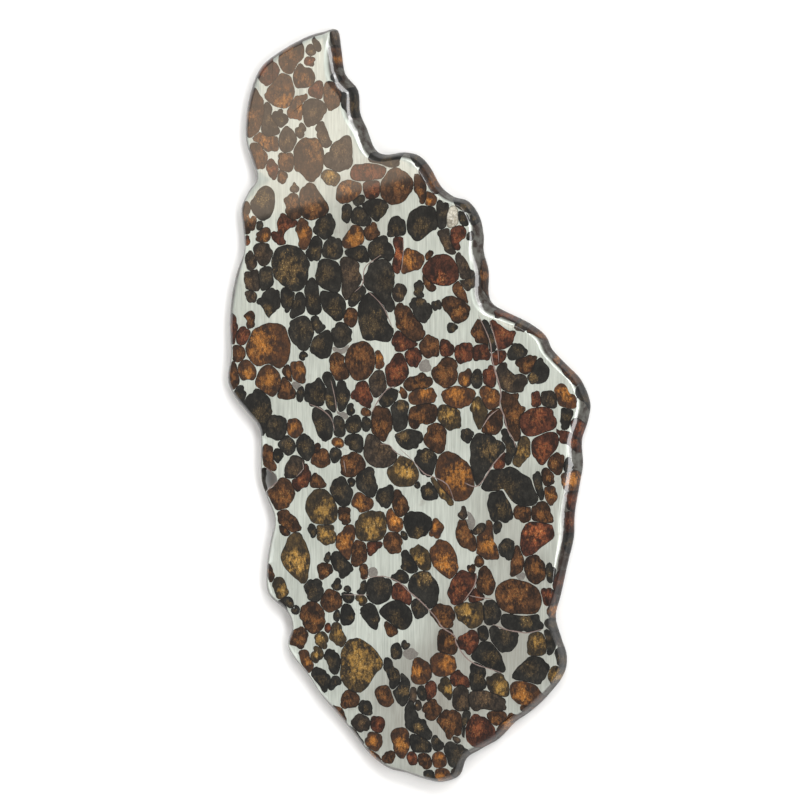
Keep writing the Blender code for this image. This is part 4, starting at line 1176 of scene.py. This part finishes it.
@dataclass(frozen=True)
class CrystalFinish:
    """One tone of olivine: a painted shade along its edge, a mottled body and a painted patch of light
    returned from inside.
    """

    tone: Tone
    deep: Colour
    body: Colour
    glow: Colour
    light: float
    clear: float = 0.0
    # colour of the painted glints
    glint_colour: Colour = (0.80, 0.55, 0.20)
    roughness: float = 0.30
    ior: float = 1.67
    specular: float = 0.12
    rim_dark: float = 0.15
    relief: float = 0.00010
    skin: Skin = Skin(coat_roughness=0.03)

    def darker(self, share: float) -> Colour:
        """Return the deep colour at a share of its strength."""
        return tuple(share * part for part in self.deep)

    def material(self) -> bpy.types.Material:
        """Build the material: mottled body, painted glow, cracks, painted glints, each grain's own shade,
        painted edge shade and rim.
        """
        net = Net(self.tone.value)
        seed, lit, core = (net.attribute(name) for name in ("seed", "lit", "core"))
        grain = net.noise(1900.0, 5.0, 0.72, net.stretched((1.0, 0.5, 1.0)), seed * 9.0)
        mottle = net.noise(430.0, 5.0, 0.66, None, seed * 20.0)
        colour = net.mix((mottle * 0.55 + grain * 0.55).between(0.44, 0.72), self.deep, self.body)
        reach = net.add("ShaderNodeVectorMath", {"operation": "LENGTH"},
                        {0: net.add("ShaderNodeUVMap", {"uv_map": "glow_map"}, {})}, 1)
        # painted light: a patch of light returned from inside the grain, placed by its glow map and strength
        patch = (1.05 - reach + (mottle - 0.5) * 2.4 + (grain - 0.5) * 2.2).between(0.20, 1.10)
        glow = patch * (0.45 + grain.between(0.40, 0.62) * 0.75) * lit
        colour = net.mix(glow, colour, self.glow)
        crack = net.cracks(640.0).between(0.0, 0.05)
        colour = net.mix((1.0 - crack) * 0.60, colour, self.darker(0.5))
        # painted glints: bright points within the painted light patch
        glint_share = net.noise(3300.0, 2.0, 0.6, None, seed * 5.0).between(0.58, 0.70) * patch * lit
        colour = net.mix(glint_share * 0.8, colour, self.glint_colour)
        shade = {channel: 0.75 + seed * part for channel, part in enumerate((0.50, 0.45, 0.42))}
        colour = net.mix(1.0, colour, net.add("ShaderNodeCombineColor", {}, shade), "MULTIPLY")
        # painted shade: each grain darkens towards its edge, outside its unshaded core
        edge = (core + (grain - 0.5) * 0.9).between(0.05, 0.95)
        colour = net.mix(edge * 0.9 + 0.1, self.darker(0.3), colour)
        rim = self.skin.on_rim(net)
        colour = net.mix(rim * self.rim_dark, colour, self.darker(0.5))
        return net.finish({
            "Base Color": colour, "Roughness": self.roughness + grain * 0.15, "IOR": self.ior,
            "Specular IOR Level": self.specular, "Transmission Weight": self.clear,
            "Normal": net.bump(rim * net.noise(1300.0, 4.0, 0.6), self.relief), **self.skin.coat(net),
        })


CRYSTAL_FINISHES = {finish.tone: finish for finish in (
    CrystalFinish(Tone.INK, (0.0048, 0.0050, 0.0043), (0.025, 0.024, 0.020), (0.145, 0.090, 0.032), 0.27),
    CrystalFinish(Tone.SMOKE, (0.009, 0.007, 0.0055), (0.052, 0.039, 0.028), (0.17, 0.095, 0.040), 0.32),
    CrystalFinish(Tone.UMBER, (0.011, 0.0055, 0.0033), (0.088, 0.039, 0.016), (0.31, 0.118, 0.027), 0.40),
    CrystalFinish(Tone.RUST, (0.012, 0.0045, 0.003), (0.104, 0.032, 0.016), (0.31, 0.085, 0.025), 0.38),
    CrystalFinish(Tone.AMBER, (0.020, 0.008, 0.003), (0.145, 0.050, 0.010), (0.52, 0.195, 0.024), 0.85,
                  clear=0.25, glint_colour=(0.95, 0.62, 0.22)),
    CrystalFinish(Tone.GOLD, (0.011, 0.008, 0.0035), (0.095, 0.058, 0.016), (0.47, 0.26, 0.05), 0.90,
                  clear=0.25, glint_colour=(1.0, 0.80, 0.38)),
    CrystalFinish(Tone.CREAM, (0.25, 0.23, 0.18), (0.66, 0.63, 0.53), (0.82, 0.80, 0.70), 0.6),
)}


@dataclass
class SlabForm:
    """The whole slice as one solid: flat faces and a rounded, lumpy natural rim."""

    plan: Plan
    thickness: float = THICKNESS
    steps: int = 4
    lump: float = 0.00007
    lump_base: float = 0.6
    lump_scale: float = 420.0
    lump_squash: float = 1.6
    spacing: float = 0.010
    first_line: float = 0.513
    profile: tuple[tuple[float, float], ...] = (
        (0.0, 0.14), (0.05, 0.05), (0.16, 0.0), (0.32, 0.03), (0.5, 0.11), (0.64, 0.22), (0.74, 0.34),
        (0.81, 0.46), (0.87, 0.60), (0.925, 0.74), (0.965, 0.86), (0.985, 0.93), (0.997, 0.975), (1.0, 1.0),
    )

    def rings(self) -> list[list[Vector]]:
        """Return the rings of points that the slab is drawn through, from the back up."""
        loop = Loop([self.plan.edge_point(column, row) for column, row, _ in OUTLINE])
        widths = [Vector((width * self.plan.row, 0.0)) for _, _, width in reversed(OUTLINE)]
        fine = loop.smoothed(self.steps)
        rims = [width.x for width in rounded(widths, self.steps)]
        rings = []
        for level, share in self.profile:
            height = level * self.thickness
            swell = self.lump * math.sin(math.pi * level) ** 0.5 if 0.0 < level < 1.0 else 0.0
            moves = []
            for point, rim in zip(fine.points, rims):
                spot = Vector((point.x, point.y, height * self.lump_squash)) * self.lump_scale
                moves.append(rim * share + swell * (self.lump_base + noise.fractal(spot, 1.0, 2.0, 3)))
            rings.append([Vector((p.x, p.y, height)) for p in fine.moved_in(moves, 3)])
        return rings

    def build(self, name: str) -> bpy.types.Object:
        """Draw the slab up from its back, ring by ring.

        Args:
            name: the new object's name.

        Returns:
            The object.
        """
        rings = self.rings()
        thing = Bench.plates(name, [rings[0]], 0.0)
        Bench.take(thing)
        bpy.ops.object.mode_set(mode="EDIT")
        bpy.ops.mesh.select_all(action="SELECT")
        for below, ring in zip(rings, rings[1:]):
            bpy.ops.mesh.extrude_region_move(TRANSFORM_OT_translate={"value": (0.0, 0.0, 0.0001)})
            shape = bmesh.from_edit_mesh(thing.data)
            top = next(face for face in shape.faces if face.select)
            corners = list(top.verts)
            start = min(range(len(corners)), key=lambda k: (corners[k].co.xy - below[0].xy).length)
            corners = corners[start:] + corners[:start]
            if (corners[1].co.xy - below[1].xy).length > (corners[-1].co.xy - below[1].xy).length:
                corners = corners[:1] + corners[:0:-1]
            for corner, place in zip(corners, ring):
                corner.co = place
            bmesh.update_edit_mesh(thing.data)
        bpy.ops.mesh.select_all(action="SELECT")
        bpy.ops.mesh.normals_make_consistent(inside=False)
        bpy.ops.object.mode_set(mode="OBJECT")
        return thing

    def score(self, thing: bpy.types.Object) -> None:
        """Divide a slab's faces into squares, so that no face is cut by hundreds of crystals."""
        Bench.take(thing)
        bpy.ops.object.mode_set(mode="EDIT")
        low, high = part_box("metal_matrix")
        for axis, normal in enumerate(((1.0, 0.0, 0.0), (0.0, 1.0, 0.0))):
            place = low[axis] + self.spacing * self.first_line
            while place < high[axis]:
                bpy.ops.mesh.select_all(action="SELECT")
                point = tuple(place * part for part in normal)
                bpy.ops.mesh.bisect(plane_co=point, plane_no=normal)
                place += self.spacing
        bpy.ops.object.mode_set(mode="OBJECT")


@dataclass
class Crystal:
    """One grain: its outline, the solid it stands for and how light comes back from it."""

    tone: Tone
    loop: Loop
    node: "str | None"
    seed: float
    lit: float
    spot: Vector
    spread: float

    def room(self, point: Vector, others: Sequence["Crystal"], most: float = 0.0005) -> float:
        """Return how far a point stands from the nearest other grain, looking no further than most."""
        near = (other for other in others if other is not self
                and (other.loop.centre - point).length < other.loop.reach + most)
        return min((other.loop.distance(point) for other in near), default=most)

    def reached(self, veins: Sequence[Loop], margin: float = 0.0004) -> bool:
        """Return whether any vein runs through the grain or passes closer than the margin."""
        near = [vein for vein in veins
                if (vein.centre - self.loop.centre).length < vein.reach + self.loop.reach + margin]
        return any(vein.distance(point) < margin for vein in near for point in self.loop.points) or any(
            self.loop.distance(point) < margin for vein in near for point in vein.points)


@dataclass
class Crystals:
    """Every olivine grain of the slice and the dull patches, read from the plan.

    A grain's seed, its light and the turn of its light step on from one grain to the next by
    shares of the golden ratio, which spreads them evenly.
    """

    plan: Plan
    web: float = 0.00003
    steps: int = 3
    smallest: float = 0.0000003
    crowded: float = 0.0016
    growth: float = 0.00070
    open_growth: float = 0.00003
    wobble: float = 0.00013
    wobble_scale: float = 620.0
    fits: tuple[float, ...] = (1.0, 0.92, 0.84, 0.76, 0.68)
    tries: tuple[float, ...] = (1.0, 0.8, 0.6, 0.4, 0.2)
    seed_step: float = 0.618034
    turn_step: float = 2.399963
    light_step: float = 0.3819
    light_least: float = 0.55
    light_range: float = 0.9
    light_off: float = 0.25
    light_spread: float = 0.95

    def read(self) -> list[Crystal]:
        """Return the grains, each kept off those before it."""
        found: list[Crystal] = []
        numbered, others = ([(tone, flat) for tone, outlines in groups.items() for flat in outlines]
                            for groups in (NUMBERED, SMALL))
        for number, (tone, flat) in enumerate(numbered + others, 1):
            node = f"olivine_{number:02d}" if number <= len(numbered) else None
            loop = Loop([self.plan.face_point(*pair) for pair in pairs(flat)]).smoothed(self.steps)
            fitted = self.fitted(self.uneven(loop), found)
            if fitted is None:
                log.warning("a %s grain at %s has no room", tone.value, flat[:2])
                continue
            found.append(self.grain(tone, fitted, node, len(found)))
        self.crowd(found)
        self.light(found)
        return found

    def fitted(self, loop: Loop, found: Sequence[Crystal]) -> "Loop | None":
        """Return an outline drawn in until it stands clear of the grains before it.

        Args:
            loop: the outline as it is read.
            found: the grains before it.

        Returns:
            The outline, or nothing when there is no room for it.
        """
        near = [other.loop for other in found
                if (other.loop.centre - loop.centre).length < other.loop.reach + loop.reach + self.web]
        for share in self.fits:
            tried = Loop([loop.centre.lerp(point, share) for point in loop.points])
            for other in near:
                tried.keep_off(other, self.web)
            if tried.area() > self.smallest and not any(tried.meets(other) for other in near):
                return tried
        return None

    def uneven(self, loop: Loop) -> Loop:
        """Return an outline with small knobs and hollows all round it."""
        widths = [self.wobble * noise.noise(Vector((point.x, point.y, 0.0)) * self.wobble_scale)
                  for point in loop.points]
        return Loop(loop.moved_in(widths))

    def crowd(self, found: list[Crystal]) -> None:
        """Let neighbouring grains grow towards each other until only a thin web of metal is left."""
        moves = []
        for grain in found:
            near = [other.loop for other in found if other is not grain
                    and (other.loop.centre - grain.loop.centre).length
                    < other.loop.reach + grain.loop.reach + self.crowded]
            widths = []
            for point in grain.loop.points:
                room = min((loop.distance(point) for loop in near), default=self.crowded)
                half = (room - self.web) / 2
                widths.append(-min(half, self.growth if room < self.crowded else self.open_growth))
            moves.append(widths)
        for index, (grain, widths) in enumerate(zip(found, moves)):
            count = len(widths)
            eased = [max(widths[k], (widths[k - 1] + widths[k] + widths[(k + 1) % count]) / 3)
                     for k in range(count)]
            for share in self.tries:
                grown = Loop(grain.loop.moved_in([width * share for width in eased]))
                for other in found[:index]:
                    grown.keep_off(other.loop, self.web)
                if not grown.crosses_itself() and not any(
                        grown.meets(other.loop) for other in found if other is not grain):
                    grain.loop = grown
                    break

    def grain(self, tone: Tone, loop: Loop, node: "str | None", index: int) -> Crystal:
        """Return one grain with its own seed and a faint light off its middle.

        Args:
            tone: the grain's tone.
            loop: its outline.
            node: the solid it stands for, if it has one.
            index: its number among all grains.

        Returns:
            The grain.
        """
        seed = (index * self.seed_step) % 1.0
        turn = index * self.turn_step
        size = loop.radius()
        spot = loop.centre + Vector((math.cos(turn), math.sin(turn))) * size * self.light_off
        light = CRYSTAL_FINISHES[tone].light if tone in CRYSTAL_FINISHES else 0.0
        light *= self.light_least + self.light_range * ((index * self.light_step) % 1.0)
        return Crystal(tone, loop, node, seed, light, spot, size * self.light_spread)

    def light(self, found: list[Crystal]) -> None:
        """Give the grains that the spots name a stronger light at that place."""
        for column, row, strength, spread in SPOTS:
            place = self.plan.face_point(column, row)
            best = min(found, key=lambda grain: grain.loop.distance(place))
            best.lit = strength
            best.spot = place
            best.spread = best.loop.radius() * spread


@dataclass
class CrystalPiece:
    """All grains of one tone, cut from the slab form."""

    tone: Tone
    grains: list[Crystal]
    gap: float = 0.000008
    over: float = CUT_PAST
    # width of the painted shade along each grain's edge, and of the ring inset to carry it
    shade_border: float = 0.00030
    rim_shares: tuple[float, float] = (0.35, 0.35)
    inner_shares: tuple[float, float] = (0.45, 1.0)
    narrow: float = 1.5
    flat: float = 0.9999
    # share of the painted shade width inside which a grain counts as its unshaded core
    core: float = 0.3
    thickness: float = THICKNESS

    def build(self, slab: bpy.types.Object, strips: bpy.types.Object, veins: Sequence[Loop],
              shoulder: Loop, material: bpy.types.Material, slot: str) -> None:
        """Make the grains and dress them.

        Only grains that a vein reaches are cut with the strips, because a cut through the whole
        mesh can drop a grain that it doesn't touch.

        Args:
            slab: the slab form that trims those that reach the rim.
            strips: the veins' paths, cut out of those that they cross.
            veins: the outlines of those paths.
            shoulder: the edge of the flat face.
            material: their finish.
            slot: the record's slot, not used.
        """
        name = f"{self.tone.value}_crystals" if self.tone in CRYSTAL_FINISHES else "dull_metal_patches"
        groups: dict[tuple[bool, bool], list[list[Vector]]] = {}
        for grain in self.grains:
            points = grain.loop.moved_in([self.gap] * len(grain.loop.points))
            whole = all(shoulder.distance(point) < 0 for point in points)
            groups.setdefault((whole, grain.reached(veins)), []).append(points)
        parts = []
        for (whole, cut), loops in sorted(groups.items()):
            over = 0.0 if whole else self.over
            part = Bench.prisms(name, loops, -over, self.thickness + over)
            if not whole:
                Bench.boolean(part, slab, "INTERSECT")
            self.edge_in(part, self.inner_shares if whole else self.rim_shares)
            if cut:
                Bench.boolean(part, strips, "DIFFERENCE")
            parts.append(part)
        piece = Bench.join(parts)
        self.mark(piece)
        Bench.cover(piece, material)
        Bench.smooth(piece)
        nodes = [grain.node for grain in self.grains if grain.node]
        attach(piece, "root")
        if nodes:
            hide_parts(*nodes)
        log.info("%s: %d grains, %d faces", name, len(self.grains), len(piece.data.polygons))

    def edge_in(self, piece: bpy.types.Object, shares: tuple[float, float]) -> None:
        """Inset the flat ends of every grain, giving the painted edge shade a ring of its own.

        Args:
            piece: the grains.
            shares: the shares of the painted edge shade's width that small and large grains are given.
        """
        Bench.take(piece)
        bpy.ops.object.mode_set(mode="EDIT")
        bpy.ops.mesh.select_mode(type="FACE")
        shape = bmesh.from_edit_mesh(piece.data)
        size = shape.faces.layers.int.new("size")
        for face in shape.faces:
            length = sum(edge.calc_length() for edge in face.edges)
            narrow = face.calc_area() < length * self.shade_border * self.narrow
            face[size] = 0 if abs(face.normal.z) < self.flat else 1 if narrow else 2
        for value, share in enumerate(shares, 1):
            shape = bmesh.from_edit_mesh(piece.data)
            size = shape.faces.layers.int["size"]
            for face in shape.faces:
                face.select_set(face[size] == value)
            bmesh.update_edit_mesh(piece.data)
            bpy.ops.mesh.inset(thickness=self.shade_border * share, use_individual=True, use_even_offset=False)
        bpy.ops.object.mode_set(mode="OBJECT")
        piece.data.attributes.remove(piece.data.attributes["size"])

    def mark(self, piece: bpy.types.Object) -> None:
        """Give every grain's mesh its seed, its painted light, the core that its painted edge shade leaves
        clear and the map of its glow.
        """
        mesh = piece.data
        owner = self.owners(mesh)
        # the core marks the inside of each grain that the painted edge shade leaves clear
        Bench.number(piece, "core", [float(grain.loop.distance(vert.co.xy) < -self.shade_border * self.core)
                                     for grain, vert in zip(owner, mesh.vertices)])
        Bench.number(piece, "seed", [grain.seed for grain in owner])
        Bench.number(piece, "lit", [grain.lit for grain in owner])
        while mesh.uv_layers:
            mesh.uv_layers.remove(mesh.uv_layers[0])
        chart = mesh.uv_layers.new(name="glow_map")
        for corner in mesh.loops:
            grain = owner[corner.vertex_index]
            place = mesh.vertices[corner.vertex_index].co.xy
            chart.data[corner.index].uv = (place - grain.spot) / grain.spread

    def owners(self, mesh: bpy.types.Mesh) -> list[Crystal]:
        """Return the grain that each vertex of the grains' mesh belongs to."""
        parent = list(range(len(mesh.vertices)))

        def root(index: int) -> int:
            """Return the first vertex of an index's island."""
            while parent[index] != index:
                parent[index] = parent[parent[index]]
                index = parent[index]
            return index

        for edge in mesh.edges:
            first, second = (root(index) for index in edge.vertices)
            parent[first] = second
        islands: dict[int, list[int]] = {}
        for index in range(len(mesh.vertices)):
            islands.setdefault(root(index), []).append(index)
        owner: list[Crystal] = [self.grains[0]] * len(mesh.vertices)
        for members in islands.values():
            middle = sum((mesh.vertices[index].co.xy for index in members), Vector((0.0, 0.0))) / len(members)
            grain = min(self.grains, key=lambda item: item.loop.distance(middle))
            for index in members:
                owner[index] = grain
        return owner


@dataclass
class Veins:
    """The thin winding veins that run through the metal and across the crystals."""

    plan: Plan
    steps: int = 3
    over: float = CUT_PAST
    least: float = 0.25
    taper: float = 0.4
    waver_least: float = 0.8
    waver: float = 0.5
    waver_scale: float = 900.0

    def strips(self, thickness: float) -> bpy.types.Object:
        """Return the veins' paths drawn up past both faces, to cut with."""
        outlines = [loop.points for loop in self.loops()]
        return Bench.prisms("strips", outlines, -self.over, thickness + self.over)

    def loops(self) -> list[Loop]:
        """Return a thin closed outline round each vein's path."""
        made = []
        for width, flat in VEINS:
            path = self.curve([self.plan.face_point(*pair) for pair in pairs(flat)])
            left, right = [], []
            count = len(path)
            for index, point in enumerate(path):
                along = path[min(index + 1, count - 1)] - path[max(index - 1, 0)]
                share = index / (count - 1)
                half = width / 2 * (self.least + (1.0 - self.least) * math.sin(math.pi * share) ** self.taper)
                spot = Vector((point.x, point.y, 0.0)) * self.waver_scale
                half *= self.waver_least + self.waver * noise.noise(spot)
                side = Vector((-along.y, along.x)).normalized() * half
                left.append(point + side)
                right.append(point - side)
            made.append(Loop(left + right[::-1]))
        return made

    def curve(self, path: list[Vector]) -> list[Vector]:
        """Return an open path rounded through its points."""
        ends = [path[0]] + path + [path[-1]]
        fours = zip(ends, ends[1:], ends[2:], ends[3:])
        return [place for four in fours for place in span(four, self.steps)] + [path[-1]]


@dataclass
class Matrix:
    """The metal that holds every grain, with its veins let in."""

    form: SlabForm
    over: float = CUT_PAST
    seam: float = 0.00012
    reach: float = 0.0004

    def build(self, grains: Sequence[Crystal], strips: bpy.types.Object) -> None:
        """Cut the sockets and the veins' channels, and dress the metal.

        Args:
            grains: the grains that need a socket.
            strips: the veins' paths, drawn up past both faces.
        """
        metal = self.form.build("nickel_iron_matrix")
        self.form.score(metal)
        veins = Bench.twin(metal, "metal_veins")
        high = self.form.thickness + self.over
        sockets = Bench.prisms("sockets", [grain.loop.points for grain in grains], -self.over, high)
        Bench.boolean(metal, sockets, "DIFFERENCE")
        bpy.data.objects.remove(sockets)
        self.mark_seams(metal, grains)
        Bench.boolean(veins, strips, "INTERSECT")
        Bench.boolean(metal, strips, "DIFFERENCE")
        for piece, finish in ((metal, MetalFinish()), (veins, VEIN_METAL)):
            Bench.cover(piece, finish.material())
            Bench.close(piece)
            Bench.smooth(piece)
            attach(piece, "root")
            log.info("%s: %d faces", piece.name, len(piece.data.polygons))
        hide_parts("metal_matrix")

    def mark_seams(self, metal: bpy.types.Object, grains: Sequence[Crystal]) -> None:
        """Mark the corners of the metal that stand in a hair-thin seam between two grains, where painted
        shade darkens the metal.

        Args:
            metal: the matrix with its sockets cut.
            grains: the grains.
        """
        places = [(grain, point) for grain in grains for point in grain.loop.points]
        tree = kdtree.KDTree(len(places))
        tight = []
        for index, (grain, point) in enumerate(places):
            tree.insert((point.x, point.y, 0.0), index)
            tight.append(grain.room(point, grains) < self.seam)
        tree.balance()
        values = []
        for vert in metal.data.vertices:
            _, index, distance = tree.find((vert.co.x, vert.co.y, 0.0))
            values.append(float(tight[index] and distance < self.reach))
        Bench.number(metal, "seam", values)


@dataclass(frozen=True)
class Lamp:
    """One soft light: where it hangs, where it points, its size and its power."""

    name: str
    place: tuple[float, float, float]
    size: tuple[float, float]
    power: float
    aim: tuple[float, float, float] = (0.0, 0.0, 0.0)
    colour: Colour = (1.0, 1.0, 1.0)
    turn: float = 0.0

    def hang(self) -> None:
        """Hang the light."""
        data = bpy.data.lights.new(self.name, "AREA")
        data.shape = "RECTANGLE"
        data.size, data.size_y = self.size
        data.energy = self.power
        data.color = self.colour
        lamp = bpy.data.objects.new(self.name, data)
        bpy.context.scene.collection.objects.link(lamp)
        lamp.location = self.place
        lamp.rotation_euler = (Vector(self.aim) - Vector(self.place)).to_track_quat("-Z", "Y").to_euler()
        lamp.rotation_euler.rotate_axis("Z", math.radians(self.turn))
        lamp.visible_camera = False


@dataclass
class Studio:
    """The pale floor, the soft lights and the camera."""

    tilt: float = 17.0
    distance: float = 1.0
    across: float = 0.2
    aim: tuple[float, float, float] = (-0.00152, 0.001, 0.002)
    sensor: float = 36.0
    floor_size: float = 4.0
    floor_level: float = -0.00002
    room_colour: Colour = (1.0, 0.99, 0.975)
    room_light: float = 0.26

    def floor(self) -> None:
        """Lay a pale floor under the slice."""
        Bench.clear()
        bpy.ops.mesh.primitive_plane_add(size=self.floor_size, location=(0.0, 0.0, self.floor_level))
        floor = bpy.context.object
        floor.name = "floor"
        net = Net("floor_paper")
        tooth = net.noise(900.0, 3.0, 0.5)
        colour = net.mix(net.noise(3.0, 2.0, 0.5), (0.84, 0.84, 0.83), (0.87, 0.87, 0.865))
        floor.data.materials.append(net.finish({
            "Base Color": colour, "Roughness": 0.9, "Specular IOR Level": 0.1,
            "Normal": net.bump(tooth, 0.00003)}))

    def lights(self) -> None:
        """Hang the lights and set the room's own light."""
        world = bpy.data.worlds.new("room")
        world.use_nodes = True
        sky = world.node_tree.nodes["Background"].inputs
        sky["Color"].default_value = (*self.room_colour, 1.0)
        sky["Strength"].default_value = self.room_light
        bpy.context.scene.world = world
        for lamp in LAMPS:
            lamp.hang()

    def camera(self) -> None:
        """Stand the camera over the slice, at the photograph's angle."""
        data = bpy.data.cameras.new("camera")
        data.sensor_width = self.sensor
        data.lens = self.sensor * self.distance / self.across
        camera = bpy.data.objects.new("camera", data)
        bpy.context.scene.collection.objects.link(camera)
        tilt = math.radians(self.tilt)
        aim = Vector(self.aim)
        camera.location = aim + Vector((math.sin(tilt), 0.0, math.cos(tilt))) * self.distance
        camera.rotation_euler = (0.0, tilt, 0.0)
        bpy.context.scene.camera = camera

    def build(self) -> None:
        """Set the whole studio up."""
        self.floor()
        self.lights()
        self.camera()
        bpy.context.scene.view_settings.view_transform = "Standard"


LAMPS = (
    Lamp("right_strip", (0.69, 0.08, 0.85), (1.2, 0.24), 9.0),
    Lamp("back_right_strip", (0.32, 0.74, 0.80), (0.8, 0.24), 6.0),
    Lamp("left_softbox", (-0.95, -0.25, 0.75), (0.5, 0.8), 4.0),
    Lamp("front_softbox", (0.15, -1.0, 0.75), (0.9, 0.4), 3.6),
    Lamp("back_softbox", (-0.20, 1.0, 0.75), (0.7, 0.3), 1.4),
    Lamp("veil_card", (-0.330, 0.205, 1.0), (0.32, 0.19), 0.61,
         aim=(-0.330, 0.205, 0.0), colour=(1.0, 0.77, 0.57), turn=13.5),
)


def main() -> None:
    """Build the slice and its studio."""
    logging.basicConfig(level=logging.INFO, format="%(name)s: %(message)s")
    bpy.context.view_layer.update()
    plan = Plan()
    grains = Crystals(plan).read()
    log.info("%d grains read", len(grains))
    form = SlabForm(plan)
    veins = Veins(plan)
    strips = veins.strips(form.thickness)
    Matrix(form).build(grains, strips)
    trim = form.build("trim_form")
    shoulder = Loop([point.xy for point in form.rings()[-1]])
    for tone in Tone:
        members = [grain for grain in grains if grain.tone is tone]
        if not members:
            continue
        finish = CRYSTAL_FINISHES.get(tone, PATCH_METAL).material()
        slot = {Tone.CREAM: "smoke", Tone.DULL: "nickel_iron"}.get(tone, tone.value)
        CrystalPiece(tone, members).build(trim, strips, veins.loops(), shoulder, finish, slot)
    for tool in (trim, strips):
        bpy.data.objects.remove(tool)
    Studio().build()


if __name__ == "__main__":
    main()
